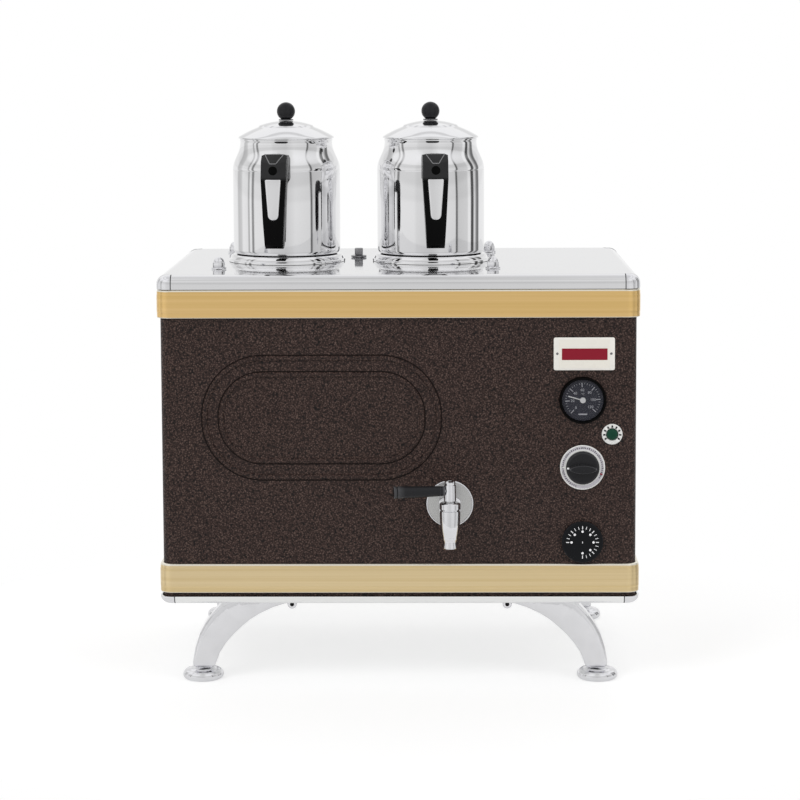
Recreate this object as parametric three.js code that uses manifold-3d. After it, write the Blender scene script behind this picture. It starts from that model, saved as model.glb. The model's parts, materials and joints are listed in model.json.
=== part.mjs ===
// An electric tea urn: a painted steel cabinet on four cast legs holds a water tank, and two
// teapots stand in collars over it, so that the steam keeps them hot. Hot water leaves through
// a plug tap on the front. Millimetres, +Z up, the floor at z = 0, the front facing -Y.
import * as THREE from "three";
import { mergeVertices } from "three/addons/utils/BufferGeometryUtils.js";
import Module from "manifold-3d";

const wasm = await Module();
wasm.setup();

// Shared by all pieces: the running gap between neighbours, how far a cutter passes a face,
// how close two vertices are before they count as one, and how round the round pieces are
const clearance = 0.3;
const overrun = 2;
const weldDistance = 0.001;
const largeSides = 32;
const smallSides = 16;
const tinySides = 8;
const cornerSteps = 4;
const quarterTurn = Math.PI / 2;

// Cabinet: the outline over the trim bands, then the heights from the floor up
const cabinetWidth = 500;
const cabinetDepth = 350;
const cabinetCornerRadius = 14;
const legHeight = 87;
const trayHeight = 8.3;
const shadowGap = 4.1;
const lowerTrimHeight = 30.6;
const panelHeight = 257;
const upperTrimHeight = 29.5;
const coverHeight = 14.6;

// Sheet metal and trim of the cabinet
const trimProud = 3.7;
const trimStripHeight = 6.8;
const trimStripDepth = 0.8;
const trimLip = 1;
const shellSheet = 1.2;
const rearReturn = 16;
const coverSheet = 1.5;
const coverEdgeRadius = 10;
const trayEdgeRadius = 8;
const capSize = 12.5;
const edgeSteps = 4;

// Vents and cable gland in the rear panel
const ventCount = 6;
const ventLength = 60;
const ventHeight = 4;
const ventPitch = 12;
const ventInset = 64;
const ventDrop = 57;
const glandInset = 50;
const glandRise = 30;
const glandThreadRadius = 8;
const glandNutRadius = 11;
const glandNutHeight = 6;
const glandDomeRadius = 8.5;
const glandReach = 15;
const glandTail = 12;
const glandBoreRadius = 4;

// Legs and foot pads
const legSideInset = 41.5;
const legInset = 36.5;
const legThickness = 26;
const legBevel = 1.2;
const legTipReach = 101;
const legTipThickness = 3;
const legInnerShares = [
  [0.128, 0],
  [0.17, 0.2],
  [0.25, 0.37],
  [0.35, 0.52],
  [0.485, 0.685],
  [0.665, 0.835],
  [0.87, 0.945],
];
const legOuterShares = [
  [0.27, 1],
  [0.2, 0.93],
  [0.11, 0.8],
  [0.03, 0.65],
  [-0.03, 0.5],
  [-0.085, 0.27],
  [-0.11, 0],
];
const padRadius = 21.5;
const padHeight = 11.5;
const padFlatRadius = 18.5;
const padShoulderRadius = 17;
const padTopRadius = 12;

// Water tank, which fills the cabinet but for a control compartment on the right
const tankSideGap = 14;
const controlSpace = 112;
const tankFront = 24;
const tankBackGap = 20;
const tankCoverGap = 4.8;
const tankWall = 1.5;
const tankFootHeight = 15.5;
const tankFootSize = 20;
const tankFootInset = 30;

// Heating element, screwed into the tank's right wall
const elementBehindMiddle = 15;
const elementRise = 26;
const elementShankRadius = 16;
const elementHeadRadius = 23;
const elementHeadThickness = 8;
const elementShankReach = 12;
const elementStubRadius = 13;
const elementStubLength = 20;
const elementTubeRadius = 4;
const elementTubeHalfSpan = 9;
const elementTubeReach = 240;
const elementGasketRadius = 19;
const elementGasketThickness = 2;
const elementNutThickness = 7;
const elementNutRadius = 22;

// Teapots, their collars and the fittings on the top cover
const potsOffset = 3.4;
const potSpacing = 158;
const potsBehindMiddle = 5;
const collarBore = 55.5;
const collarSkirtRadius = 57;
const collarHoleRadius = 61;
const collarFlangeRadius = 64;
const collarCrownRadius = 60;
const collarSeatRadius = 57.5;
const collarRise = 7.7;
const collarFlangeHeight = 3;
const collarSkirtDepth = 24;
const boltSideInset = 42;
const boltDepthInset = 49;
const studRadius = 3;
const nutFlangeRadius = 8;
const nutFlangeHeight = 1.6;
const nutBodyRadius = 6.6;
const nutBodyHeight = 5.4;
const nutDomeHeight = 5.5;
const nutDomeShares = [
  [1, 0],
  [0.8, 0.6],
  [0.35, 1],
  [0, 1],
];
const plugOffset = 1.4;
const plugBehindPots = 38;
const plugStemRadius = 5;
const plugFlangeRadius = 8.6;
const plugFlangeHeight = 2;
const plugHeadSize = 9;
const plugHeadHeight = 8;
const plugStemDepth = 14;
const plugNeckWall = 2.5;

const potWall = 1.2;
const potRadius = 58.5;
const potSpigotRadius = 54.5;
const potSpigotDepth = 24;
const potFootRadius = 4;
const potFootHeight = 5;
const potShoulderHeight = 92;
const potShoulderShares = [
  [0, 0],
  [0.1, 0.1],
  [0.45, 0.4],
  [0.83, 0.78],
  [1, 1],
];
const potNeckStart = 121;
const potNeckRadius = 50.2;
const potHeight = 126;
const spoutRoot = 32;
const spoutRootRadius = 14;
const spoutTipRadius = 7.2;
const spoutTipHeight = 110;
const spoutReach = 98;
const spoutRootReach = 48;
const spoutWall = 1.2;
const spoutTipShare = 1.1;
const spoutBoreRootShare = -0.05;
const spoutBoreTipShare = 1.2;
const bracketWidth = 12;
const bracketHeight = 9;
const bracketReach = 76;
const bracketLift = 96;

const lidRadius = 52.2;
const lidSheet = 1.2;
const lidRimHeight = 1.6;
const lidDomeHeight = 16;
const lidStepRadius = 29.5;
const lidStepHeight = 1.4;
const lidSkirtDepth = 10;
const lidSkirtGap = 0.5;
const knobRadius = 10;
const knobWasherRadius = 8;
const knobWasherHeight = 1.6;
const knobNeckRadius = 5.5;

const handleWidth = 27;
const handleEndWidth = 19;
const handleTop = 112;
const handleLength = 100;
const handleOut = 98;
const handleIn = 61.5;
const handleArmHeight = 27;
const handleGrip = 17;
const handleEndGrip = 13;
const handleScrewRadius = 4.4;
const handleScrewDepth = 3;
const handleScrewDrop = 17;
const insertDrop = 26;
const insertLength = 43.7;
const insertWidth = 17.6;
const insertEndWidth = 11.3;
const insertThickness = 2;
const insertProud = 0.6;
const leftPotTurn = -5;
const rightPotTurn = 3.5;

// Plug tap on the front
const tapX = 53;
const tapRise = 63.2;
const tapAxisReach = 39.5;
const tapFlangeRadius = 24.5;
const tapFlangeThickness = 2.4;
const tapNutRadius = 13.3;
const tapNutThickness = 9;
const tapArmRadius = 8;
const tapShankRadius = 9;
const tapShankLength = 38;
const tapWaterRadius = 4;
const tapWaterDrop = 2;
const tapBodyTopRadius = 10.2;
const tapBodyBottomRadius = 7.4;
const tapBodyRise = 3.8;
const tapBodyDrop = 28;
const tapNozzleRadius = 6.8;
const tapNozzleDrop = 37.8;
const tapPlugTopRadius = 7.6;
const tapPlugBottomRadius = 5.6;
const tapPlugDrop = 24;
const tapPortRadius = 3.4;
const tapStemRadius = 5.2;
const tapTipRadius = 3;
const tapTipLength = 8;
const packingNutRadius = 10.4;
const packingNutHeight = 8;
const headRadius = 5.4;
const headHeight = 19.4;
const headNotchWidth = 5;
const headNotchDepth = 1.4;
const leverArmRadius = 3.2;
const leverArmReach = 16;
const leverDrop = 10.7;
const leverForward = 10.8;
const gripInnerRadius = 5.2;
const gripOuterRadius = 6.5;
const gripLength = 53;
const gripRounding = 1;
const tapGasketRadius = 13;
const tapGasketThickness = 2;
const tapBackNutRadius = 15;
const tapBackNutThickness = 8;

// Controls in a column on the right of the front
const controlInset = 59.6;
const thermometerDrop = 86;
const bezelRadius = 24.5;
const bezelHeight = 6.2;
const bezelLip = 1.4;
const dialRadius = 21.5;
const dialDepth = 5;
const thermometerBodyRadius = 22;
const thermometerBodyDepth = 26;
const glassThickness = 1.2;
const needleHubRadius = 4;
const needleHubHeight = 1.6;
const needleThickness = 0.6;
const needleLength = 18;
const needleTail = 5;
const needleWidth = 1.5;
const needleAngle = 164;
const lampOffset = 30.4;
const lampDropShare = 0.5071;
const lampRingRadius = 10.8;
const lampRingHeight = 2;
const lampLensRadius = 6.1;
const lampLensHeight = 4.6;
const lampBodyRadius = 7.6;
const lampBodyDepth = 24;
const lampSocketDepth = 2;
const thermostatDropShare = 0.47336;
const scaleRingRadius = 23.3;
const scaleRingThickness = 1.6;
const thermostatKnobRadius = 17.3;
const knobSkirtHeight = 6;
const knobBarHeight = 15;
const knobBarWidth = 9;
const knobBarLength = 29;
const shaftRadius = 3;
const shaftBushRadius = 5;
const shaftReach = 13;
const regulatorWidth = 38;
const regulatorHeight = 34;
const regulatorDepth = 26;
const switchRise = 22.7;
const switchDialRadius = 21.5;
const switchDialHeight = 4.6;
const switchDialRim = 1.2;
const switchShaftReach = 3;
const plateOffset = 1.4;
const plateDrop = 37.8;
const plateWidth = 63;
const plateHeight = 34;
const plateThickness = 0.8;
const capillaryRadius = 1.2;
const capillarySides = 6;
const capillarySteps = 16;
const bulbRadius = 3.5;
const bulbLength = 60;
const bulbGlandRadius = 7;
const bulbGlandLength = 8;
const bulbInset = 68;
const bulbDrop = 15;
const terminalWidth = 24;
const terminalLength = 66;
const terminalHeight = 20;
const terminalInset = 80;
const terminalSlotCount = 5;
const terminalSlotRadius = 3;
const terminalSlotDepth = 6;

// Heights and faces that follow from the sizes above
const trayTop = legHeight + trayHeight;
const lowerTrimBase = trayTop + shadowGap;
const panelBase = lowerTrimBase + lowerTrimHeight;
const upperTrimBase = panelBase + panelHeight;
const upperTrimTop = upperTrimBase + upperTrimHeight;
const coverBase = upperTrimTop + clearance;
const coverTop = coverBase + coverHeight;
const halfWidth = cabinetWidth / 2;
const middleY = cabinetDepth / 2;
const legX = halfWidth - legSideInset;
const ventX = halfWidth - ventInset;
const ventZ = upperTrimBase - ventDrop;
const glandX = halfWidth - glandInset;
const glandZ = panelBase + glandRise;
const shellHalfWidth = halfWidth - trimProud;
const shellHalfDepth = middleY - trimProud;
const shellRadius = cabinetCornerRadius - trimProud;
const rearOpening = shellHalfWidth - shellRadius - rearReturn;
const trayFloor = legHeight + coverSheet;
const trayBowl = trayEdgeRadius - coverSheet;
const trayBowlReach = shellHalfWidth + clearance - (halfWidth - trayEdgeRadius);
const shellBase = trayFloor + trayBowl - Math.sqrt(trayBowl ** 2 - trayBowlReach ** 2) + clearance;
const tankLeft = tankSideGap - halfWidth;
const tankRight = halfWidth - controlSpace;
const tankBack = cabinetDepth - tankBackGap;
const tankBase = trayFloor + tankFootHeight;
const tankTop = coverBase - tankCoverGap;
const elementY = middleY + elementBehindMiddle;
const elementZ = tankBase + elementRise;
const bulbY = tankFront + bulbInset;
const terminalY = cabinetDepth - terminalInset;
const potBase = coverTop + clearance + collarRise + clearance;
const potsX = (tankLeft + tankRight) / 2 + potsOffset;
const potsY = middleY + potsBehindMiddle;
const boltReachX = (tankRight - tankLeft) / 2 - boltSideInset;
const boltReachY = (tankBack - tankFront) / 2 - boltDepthInset;
const plugX = potsX - plugOffset;
const plugY = potsY + plugBehindPots;
const controlX = halfWidth - controlInset;
const plateX = controlX + plateOffset;
const plateZ = upperTrimBase - plateDrop;
const thermometerZ = upperTrimBase - thermometerDrop;
const switchZ = panelBase + switchRise;
const thermostatZ = thermometerZ - thermostatDropShare * (thermometerZ - switchZ);
const lampX = controlX + lampOffset;
const lampZ = thermometerZ - lampDropShare * (thermometerZ - thermostatZ);
const tapZ = panelBase + tapRise;
const regulatorBack = regulatorDepth + shellSheet + clearance;
const tapAxisY = -tapAxisReach + trimProud;
const leverAngle = THREE.MathUtils.degToRad(leverForward);
const gripEnd = headRadius + clearance + gripLength;
const gripReach =
  (gripEnd - gripRounding) * Math.sin(leverAngle) + gripOuterRadius * Math.cos(leverAngle);
const rearReach = cabinetDepth - trimProud + glandReach;
const frontReach = tapAxisY - gripReach;

const finishes = {
  paint: { color: 0x3e302c, roughness: 0.55, metalness: 0.2 },
  gold: { color: 0xc9a96c, roughness: 0.32, metalness: 0.9 },
  polished: { color: 0xd8d9db, roughness: 0.08, metalness: 1 },
  chrome: { color: 0xdcdde0, roughness: 0.12, metalness: 1 },
  brushed: { color: 0xb9bab8, roughness: 0.35, metalness: 1 },
  galvanised: { color: 0x9a9c9e, roughness: 0.5, metalness: 0.8 },
  copper: { color: 0xa8673f, roughness: 0.4, metalness: 1 },
  bakelite: { color: 0x161617, roughness: 0.25, metalness: 0 },
  dial: { color: 0x262833, roughness: 0.5, metalness: 0 },
  white: { color: 0xe9e6df, roughness: 0.4, metalness: 0 },
  green: { color: 0x123b2c, roughness: 0.2, metalness: 0 },
  clear: { color: 0xe8eef0, roughness: 0.05, metalness: 0 },
  rubber: { color: 0x2b2b2b, roughness: 0.8, metalness: 0 },
};

const urn = new THREE.Group();
urn.position.y = -(rearReach + frontReach) / 2;

// Adds one named piece to a group, with a finish of its own
function piece(group, name, geometry, finish) {
  const made = new THREE.Mesh(geometry, new THREE.MeshStandardMaterial(finishes[finish]));
  made.name = name;
  group.add(made);
  return made;
}

function subassembly(x = 0, y = 0, z = 0) {
  const group = new THREE.Group();
  group.position.set(x, y, z);
  urn.add(group);
  return group;
}

// Booleans: a closed geometry becomes a solid, and a solid becomes a geometry again
function toSolid(geometry) {
  const flat = geometry.index ? geometry.toNonIndexed() : geometry;
  const bare = new THREE.BufferGeometry().setAttribute("position", flat.getAttribute("position"));
  const merged = mergeVertices(bare, weldDistance);
  const corners = merged.index.array;
  const kept = [];
  for (let i = 0; i < corners.length; i += 3) {
    const [a, b, c] = corners.subarray(i, i + 3);
    if (a !== b && b !== c && c !== a) kept.push(a, b, c);
  }
  const vertProperties = merged.getAttribute("position").array;
  const triVerts = new Uint32Array(kept);
  return new wasm.Manifold(new wasm.Mesh({ numProp: 3, vertProperties, triVerts }));
}

function toGeometry(solid) {
  const { vertProperties, triVerts } = solid.getMesh();
  return new THREE.BufferGeometry()
    .setAttribute("position", new THREE.BufferAttribute(vertProperties, 3))
    .setIndex(new THREE.BufferAttribute(triVerts, 1));
}

function join(...geometries) {
  return toGeometry(geometries.map(toSolid).reduce((a, b) => a.add(b)));
}

function cut(body, ...tools) {
  return toGeometry(tools.map(toSolid).reduce((a, b) => a.subtract(b), toSolid(body)));
}

function common(a, b) {
  return toGeometry(toSolid(a).intersect(toSolid(b)));
}

// A block from its centre in x and y, and its lowest z
function block(width, depth, height, x = 0, y = 0, z = 0) {
  return new THREE.BoxGeometry(width, depth, height).translate(x, y, z + height / 2);
}

// A turned piece about +Z from [radius, height] points that start and end on the axis
function turned(outline, sides = smallSides) {
  const points = outline.map(([radius, height]) => new THREE.Vector2(radius, height));
  if (THREE.ShapeUtils.isClockWise(points)) points.reverse();
  return new THREE.LatheGeometry(points, sides).rotateX(quarterTurn);
}

// A turned ring: the outline closes on itself, away from the axis
function ring(outline, sides = smallSides) {
  const points = outline.map(([radius, height]) => new THREE.Vector2(radius, height));
  if (THREE.ShapeUtils.isClockWise(points)) points.reverse();
  points.push(points[0].clone());
  return new THREE.LatheGeometry(points, sides).rotateX(quarterTurn);
}

function rod(radius, length, sides = smallSides) {
  return turned([[0, 0], [radius, 0], [radius, length], [0, length]], sides);
}

function taper(baseRadius, endRadius, length, sides = smallSides) {
  return turned([[0, 0], [baseRadius, 0], [endRadius, length], [0, length]], sides);
}

function washer(bore, outer, thickness, sides = smallSides) {
  return ring([[bore, 0], [outer, 0], [outer, thickness], [bore, thickness]], sides);
}

function hexNut(bore, outer, thickness) {
  const hole = rod(bore, thickness + 2 * overrun).translate(0, 0, -overrun);
  return cut(rod(outer, thickness, 6), hole);
}

// Turns a piece from +Z to face the front, the back, or the right
const toFront = (geometry) => geometry.rotateX(quarterTurn);
const toBack = (geometry) => geometry.rotateX(-quarterTurn);
const toRight = (geometry) => geometry.rotateY(quarterTurn);

function roundedRectangle(halfX, halfY, radius) {
  const shape = new THREE.Shape();
  shape.absarc(halfX - radius, halfY - radius, radius, 0, quarterTurn);
  shape.absarc(radius - halfX, halfY - radius, radius, quarterTurn, 2 * quarterTurn);
  shape.absarc(radius - halfX, radius - halfY, radius, 2 * quarterTurn, 3 * quarterTurn);
  shape.absarc(halfX - radius, radius - halfY, radius, 3 * quarterTurn, 4 * quarterTurn);
  shape.closePath();
  return shape;
}

// A slab with rounded corners and a rounded upper edge, its lower face at z = 0
function roundedSlab(halfX, halfY, radius, height, edge) {
  const outline = roundedRectangle(halfX - edge, halfY - edge, radius - edge);
  const both = new THREE.ExtrudeGeometry(outline, {
    depth: 2 * (height - edge),
    bevelSize: edge,
    bevelThickness: edge,
    bevelSegments: edgeSteps,
    curveSegments: cornerSteps / 2,
  }).translate(0, 0, edge - height);
  return common(both, block(2 * halfX + overrun, 2 * halfY + overrun, height));
}

// A pan of sheet metal: the rounded slab less the same slab one sheet smaller
function pan(halfX, halfY, radius, height, edge, sheet) {
  const outer = roundedSlab(halfX, halfY, radius, height, edge);
  const depth = height - sheet + overrun;
  const inner = roundedSlab(halfX - sheet, halfY - sheet, radius - sheet, depth, edge - sheet);
  return cut(outer, inner.translate(0, 0, -overrun));
}

// A band round the cabinet: a lathed ring whose quarters move out to the four corners
function cornerBand(outline, halfX, halfY, radius) {
  const quarterSigns = [[1, 1], [-1, 1], [-1, -1], [1, -1]];
  const columns = 4 * (cornerSteps + 1);
  const band = ring(outline, columns);
  const places = band.getAttribute("position");
  const rows = outline.length + 1;
  for (let column = 0; column <= columns; column++) {
    const quarter = Math.floor(column / (cornerSteps + 1)) % 4;
    const share = (column % (cornerSteps + 1)) / cornerSteps;
    const angle = quarterTurn * (quarter + share);
    const [signX, signY] = quarterSigns[quarter];
    for (let row = 0; row < rows; row++) {
      const i = column * rows + row;
      const reach = Math.hypot(places.getX(i), places.getY(i));
      const x = signX * (halfX - radius) + reach * Math.cos(angle);
      const y = signY * (halfY - radius) + reach * Math.sin(angle);
      places.setXYZ(i, x, y, places.getZ(i));
    }
  }
  return band;
}

// A pipe along a curve, closed at both ends
function pipe(points, radius, steps, sides) {
  const section = new THREE.Shape().absarc(0, 0, radius, 0, 4 * quarterTurn);
  return new THREE.ExtrudeGeometry(section, {
    extrudePath: new THREE.CatmullRomCurve3(points),
    steps,
    curveSegments: sides / 2,
  });
}

const corners = [
  ["front_left", -1, -1],
  ["front_right", 1, -1],
  ["rear_left", -1, 1],
  ["rear_right", 1, 1],
];
const potPlaces = [
  ["left", potsX - potSpacing / 2, leftPotTurn],
  ["right", potsX + potSpacing / 2, rightPotTurn],
];
const boltPlaces = corners.map(([corner, signX, signY]) => [
  corner,
  potsX + signX * boltReachX,
  potsY + signY * boltReachY,
]);

// The painted wrap: front and both sides bent from one sheet, with a short return at the back
function cabinetShell() {
  const rear = shellHalfDepth;
  const turnX = shellHalfWidth - shellRadius;
  const turnY = shellHalfDepth - shellRadius;
  const inner = shellRadius - shellSheet;
  const outline = new THREE.Shape();
  outline.moveTo(rearOpening, rear);
  outline.lineTo(rearOpening, rear - shellSheet);
  outline.absarc(turnX, turnY, inner, quarterTurn, 0, true);
  outline.absarc(turnX, -turnY, inner, 0, -quarterTurn, true);
  outline.absarc(-turnX, -turnY, inner, -quarterTurn, -2 * quarterTurn, true);
  outline.absarc(-turnX, turnY, inner, 2 * quarterTurn, quarterTurn, true);
  outline.lineTo(-rearOpening, rear - shellSheet);
  outline.lineTo(-rearOpening, rear);
  outline.absarc(-turnX, turnY, shellRadius, quarterTurn, 2 * quarterTurn);
  outline.absarc(-turnX, -turnY, shellRadius, 2 * quarterTurn, 3 * quarterTurn);
  outline.absarc(turnX, -turnY, shellRadius, 3 * quarterTurn, 4 * quarterTurn);
  outline.absarc(turnX, turnY, shellRadius, 0, quarterTurn);
  outline.closePath();
  const wrap = new THREE.ExtrudeGeometry(outline, {
    depth: upperTrimTop - shellBase,
    bevelEnabled: false,
    curveSegments: cornerSteps / 2,
  }).translate(0, middleY, shellBase);
  return cut(wrap, ...panelHoles());
}

function panelHoles() {
  const bush = shaftBushRadius + clearance;
  const holes = [
    [controlX, thermometerZ, thermometerBodyRadius + clearance, largeSides],
    [lampX, lampZ, lampBodyRadius + clearance, smallSides],
    [controlX, thermostatZ, bush, smallSides],
    [controlX, switchZ, bush, smallSides],
    [tapX, tapZ, tapShankRadius + clearance, smallSides],
  ];
  const length = trimProud + shellSheet + overrun;
  return holes.map(([x, z, radius, sides]) => toBack(rod(radius, length, sides)).translate(x, 0, z));
}

function rearPanel() {
  const width = 2 * (rearOpening - clearance);
  const back = cabinetDepth - trimProud;
  const sheet = block(width, shellSheet, upperTrimTop - shellBase, 0, back - shellSheet / 2, shellBase);
  const deep = shellSheet + 2 * overrun;
  const hole = toBack(rod(glandThreadRadius + clearance, deep));
  const vents = [];
  for (let i = 0; i < ventCount; i++) {
    vents.push(block(ventLength, deep, ventHeight, ventX, back, ventZ - i * ventPitch));
  }
  return cut(sheet, hole.translate(glandX, back - deep / 2, glandZ), ...vents);
}

function trimBand(height) {
  const outer = cabinetCornerRadius;
  const inner = outer - trimProud + clearance;
  const strip = outer - trimStripDepth;
  const outline = [
    [inner, 0],
    [strip - trimLip, 0],
    [strip, trimLip],
    [strip, trimStripHeight],
    [outer, trimStripHeight + trimStripDepth],
    [outer, height - trimStripHeight - trimStripDepth],
    [strip, height - trimStripHeight],
    [strip, height - trimLip],
    [strip - trimLip, height],
    [inner, height],
  ];
  return cornerBand(outline, halfWidth, middleY, cabinetCornerRadius);
}

const coverPan = pan(halfWidth, middleY, cabinetCornerRadius, coverHeight, coverEdgeRadius, coverSheet);

function topCover() {
  const notch = capSize + overrun;
  const tall = coverHeight + 2 * overrun;
  const notches = corners.map(([, signX, signY]) =>
    block(
      notch,
      notch,
      tall,
      signX * (halfWidth - capSize + notch / 2),
      signY * (middleY - capSize + notch / 2),
      -overrun,
    ),
  );
  const seats = potPlaces.map(([, x]) =>
    rod(collarHoleRadius, tall, largeSides).translate(x, potsY - middleY, -overrun),
  );
  const bolts = boltPlaces.map(([, x, y]) =>
    rod(studRadius + clearance, tall, tinySides).translate(x, y - middleY, -overrun),
  );
  const plug = rod(plugStemRadius + clearance, tall, tinySides);
  plug.translate(plugX, plugY - middleY, -overrun);
  return cut(coverPan, ...notches, ...seats, ...bolts, plug);
}

function topCornerCap(signX, signY) {
  const size = capSize - clearance;
  const x = signX * (halfWidth - size / 2);
  const y = signY * (middleY - size / 2);
  return common(coverPan, block(size, size, coverHeight, x, y));
}

function baseTray() {
  const tray = pan(halfWidth, middleY, cabinetCornerRadius, trayHeight, trayEdgeRadius, coverSheet);
  return tray.rotateX(2 * quarterTurn);
}

function makeCasing() {
  const casing = subassembly();
  piece(casing, "cabinet_shell", cabinetShell(), "paint");
  piece(casing, "rear_panel", rearPanel(), "galvanised");
  const lower = piece(casing, "lower_trim_band", trimBand(lowerTrimHeight), "gold");
  lower.position.set(0, middleY, lowerTrimBase);
  const upper = piece(casing, "upper_trim_band", trimBand(upperTrimHeight), "gold");
  upper.position.set(0, middleY, upperTrimBase);
  piece(casing, "top_cover", topCover(), "polished").position.set(0, middleY, coverBase);
  for (const [corner, signX, signY] of corners) {
    const cap = piece(casing, `top_corner_cap_${corner}`, topCornerCap(signX, signY), "chrome");
    cap.position.set(0, middleY, coverBase);
  }
  piece(casing, "base_tray", baseTray(), "polished").position.set(0, middleY, trayTop);
  makeCableGland(casing);
  makeTerminalBlock(casing);
}

function makeCableGland(casing) {
  const outline = [
    [glandBoreRadius, -glandTail],
    [glandThreadRadius, -glandTail],
    [glandThreadRadius, clearance],
    [glandNutRadius, clearance],
    [glandNutRadius, glandNutHeight],
    [glandDomeRadius, glandNutHeight],
    [glandDomeRadius, glandReach - trimLip],
    [glandDomeRadius - trimLip, glandReach],
    [glandBoreRadius, glandReach],
  ];
  const gland = piece(casing, "cable_gland", ring(outline, tinySides), "rubber");
  gland.rotation.x = -quarterTurn;
  gland.position.set(glandX, cabinetDepth - trimProud, glandZ);
}

function makeTerminalBlock(casing) {
  const body = block(terminalWidth, terminalLength, terminalHeight);
  const slots = [];
  for (let i = 0; i < terminalSlotCount; i++) {
    const share = (i + 1) / (terminalSlotCount + 1) - 1 / 2;
    const slot = rod(terminalSlotRadius, terminalSlotDepth + overrun, tinySides);
    slots.push(slot.translate(0, terminalLength * share, terminalHeight - terminalSlotDepth));
  }
  const terminal = piece(casing, "terminal_block", cut(body, ...slots), "white");
  terminal.position.set(controlX, terminalY, trayFloor + clearance);
}

// A cast leg: a curved bracket, drawn from the side with x inwards from the pad's centre
function castLeg() {
  const top = legHeight - clearance;
  const foot = padHeight + clearance;
  const place = ([reachShare, riseShare]) =>
    new THREE.Vector2(reachShare * legTipReach, foot + riseShare * (top - foot));
  const inner = legInnerShares.map(place);
  const outer = legOuterShares.map(place);
  const outline = new THREE.Shape();
  outline.moveTo(...inner[0]);
  outline.splineThru(inner.slice(1));
  outline.lineTo(legTipReach, top - legTipThickness);
  outline.lineTo(legTipReach, top);
  outline.lineTo(...outer[0]);
  outline.splineThru(outer.slice(1));
  const leg = new THREE.ExtrudeGeometry(outline, {
    depth: legThickness - 2 * legBevel,
    bevelSize: legBevel,
    bevelOffset: -legBevel,
    bevelThickness: legBevel,
    bevelSegments: 1,
    curveSegments: 2,
  });
  return leg.rotateX(quarterTurn).translate(0, legThickness / 2 - legBevel, 0);
}

function footPad() {
  const lip = padRadius - padFlatRadius;
  return turned([
    [0, 0],
    [padFlatRadius, 0],
    [padRadius - lip / 4, lip / 2],
    [padRadius, padHeight / 3],
    [padRadius - lip / 4, (padHeight * 2) / 3],
    [padShoulderRadius, padHeight - lip / 4],
    [padTopRadius, padHeight],
    [0, padHeight],
  ]);
}

function makeLegs() {
  for (const [corner, signX, signY] of corners) {
    const stand = subassembly(signX * legX, middleY + signY * (middleY - legInset));
    if (signX > 0) stand.rotation.z = 2 * quarterTurn;
    piece(stand, `leg_${corner}`, castLeg(), "chrome");
    piece(stand, `foot_pad_${corner}`, footPad(), "chrome");
  }
}

// The tank: a box of sheet with openings for the pots, the filler, the tap, the heating
// element and the two bulbs, on four feet, with studs that hold the top cover down
function waterTank() {
  const width = tankRight - tankLeft;
  const depth = tankBack - tankFront;
  const height = tankTop - tankBase;
  const x = (tankLeft + tankRight) / 2;
  const y = (tankFront + tankBack) / 2;
  const parts = [block(width, depth, height, x, y, tankBase)];
  const footFloor = trayFloor + clearance;
  for (const [, signX, signY] of corners) {
    const footX = x + signX * (width / 2 - tankFootInset);
    const footY = y + signY * (depth / 2 - tankFootInset);
    const footHeight = tankBase + tankWall / 2 - footFloor;
    parts.push(block(tankFootSize, tankFootSize, footHeight, footX, footY, footFloor));
  }
  const studFoot = tankTop - tankWall / 2;
  const studTip = coverTop + clearance + nutFlangeHeight + nutBodyHeight;
  for (const [, studX, studY] of boltPlaces) {
    parts.push(rod(studRadius, studTip - studFoot, tinySides).translate(studX, studY, studFoot));
  }
  const neck = plugStemRadius + clearance + plugNeckWall;
  const neckTop = coverTop - coverSheet - clearance;
  parts.push(rod(neck, neckTop - studFoot, tinySides).translate(plugX, plugY, studFoot));
  const inside = block(
    width - 2 * tankWall,
    depth - 2 * tankWall,
    height - 2 * tankWall,
    x,
    y,
    tankBase + tankWall,
  );
  const solid = cut(join(...parts), inside);
  return cut(solid, ...tankHoles());
}

function tankHoles() {
  const through = tankWall + 2 * overrun;
  const wallX = tankRight - tankWall - overrun;
  const holes = potPlaces.map(([, x]) =>
    rod(collarSkirtRadius + clearance, through, largeSides).translate(
      x,
      potsY,
      tankTop - tankWall - overrun,
    ),
  );
  const fillerLength = coverTop - tankTop + tankWall + overrun;
  const filler = rod(plugStemRadius + clearance, fillerLength, tinySides);
  holes.push(filler.translate(plugX, plugY, tankTop - tankWall - overrun));
  const tap = toBack(rod(tapShankRadius + clearance, through));
  holes.push(tap.translate(tapX, tankFront - overrun, tapZ));
  const element = toRight(rod(elementShankRadius + clearance, through));
  holes.push(element.translate(wallX, elementY, elementZ));
  for (const instrumentZ of [thermometerZ, thermostatZ]) {
    const bulb = toRight(rod(bulbRadius + clearance, through, tinySides));
    holes.push(bulb.translate(wallX, bulbY, instrumentZ - bulbDrop));
  }
  return holes;
}

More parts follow.
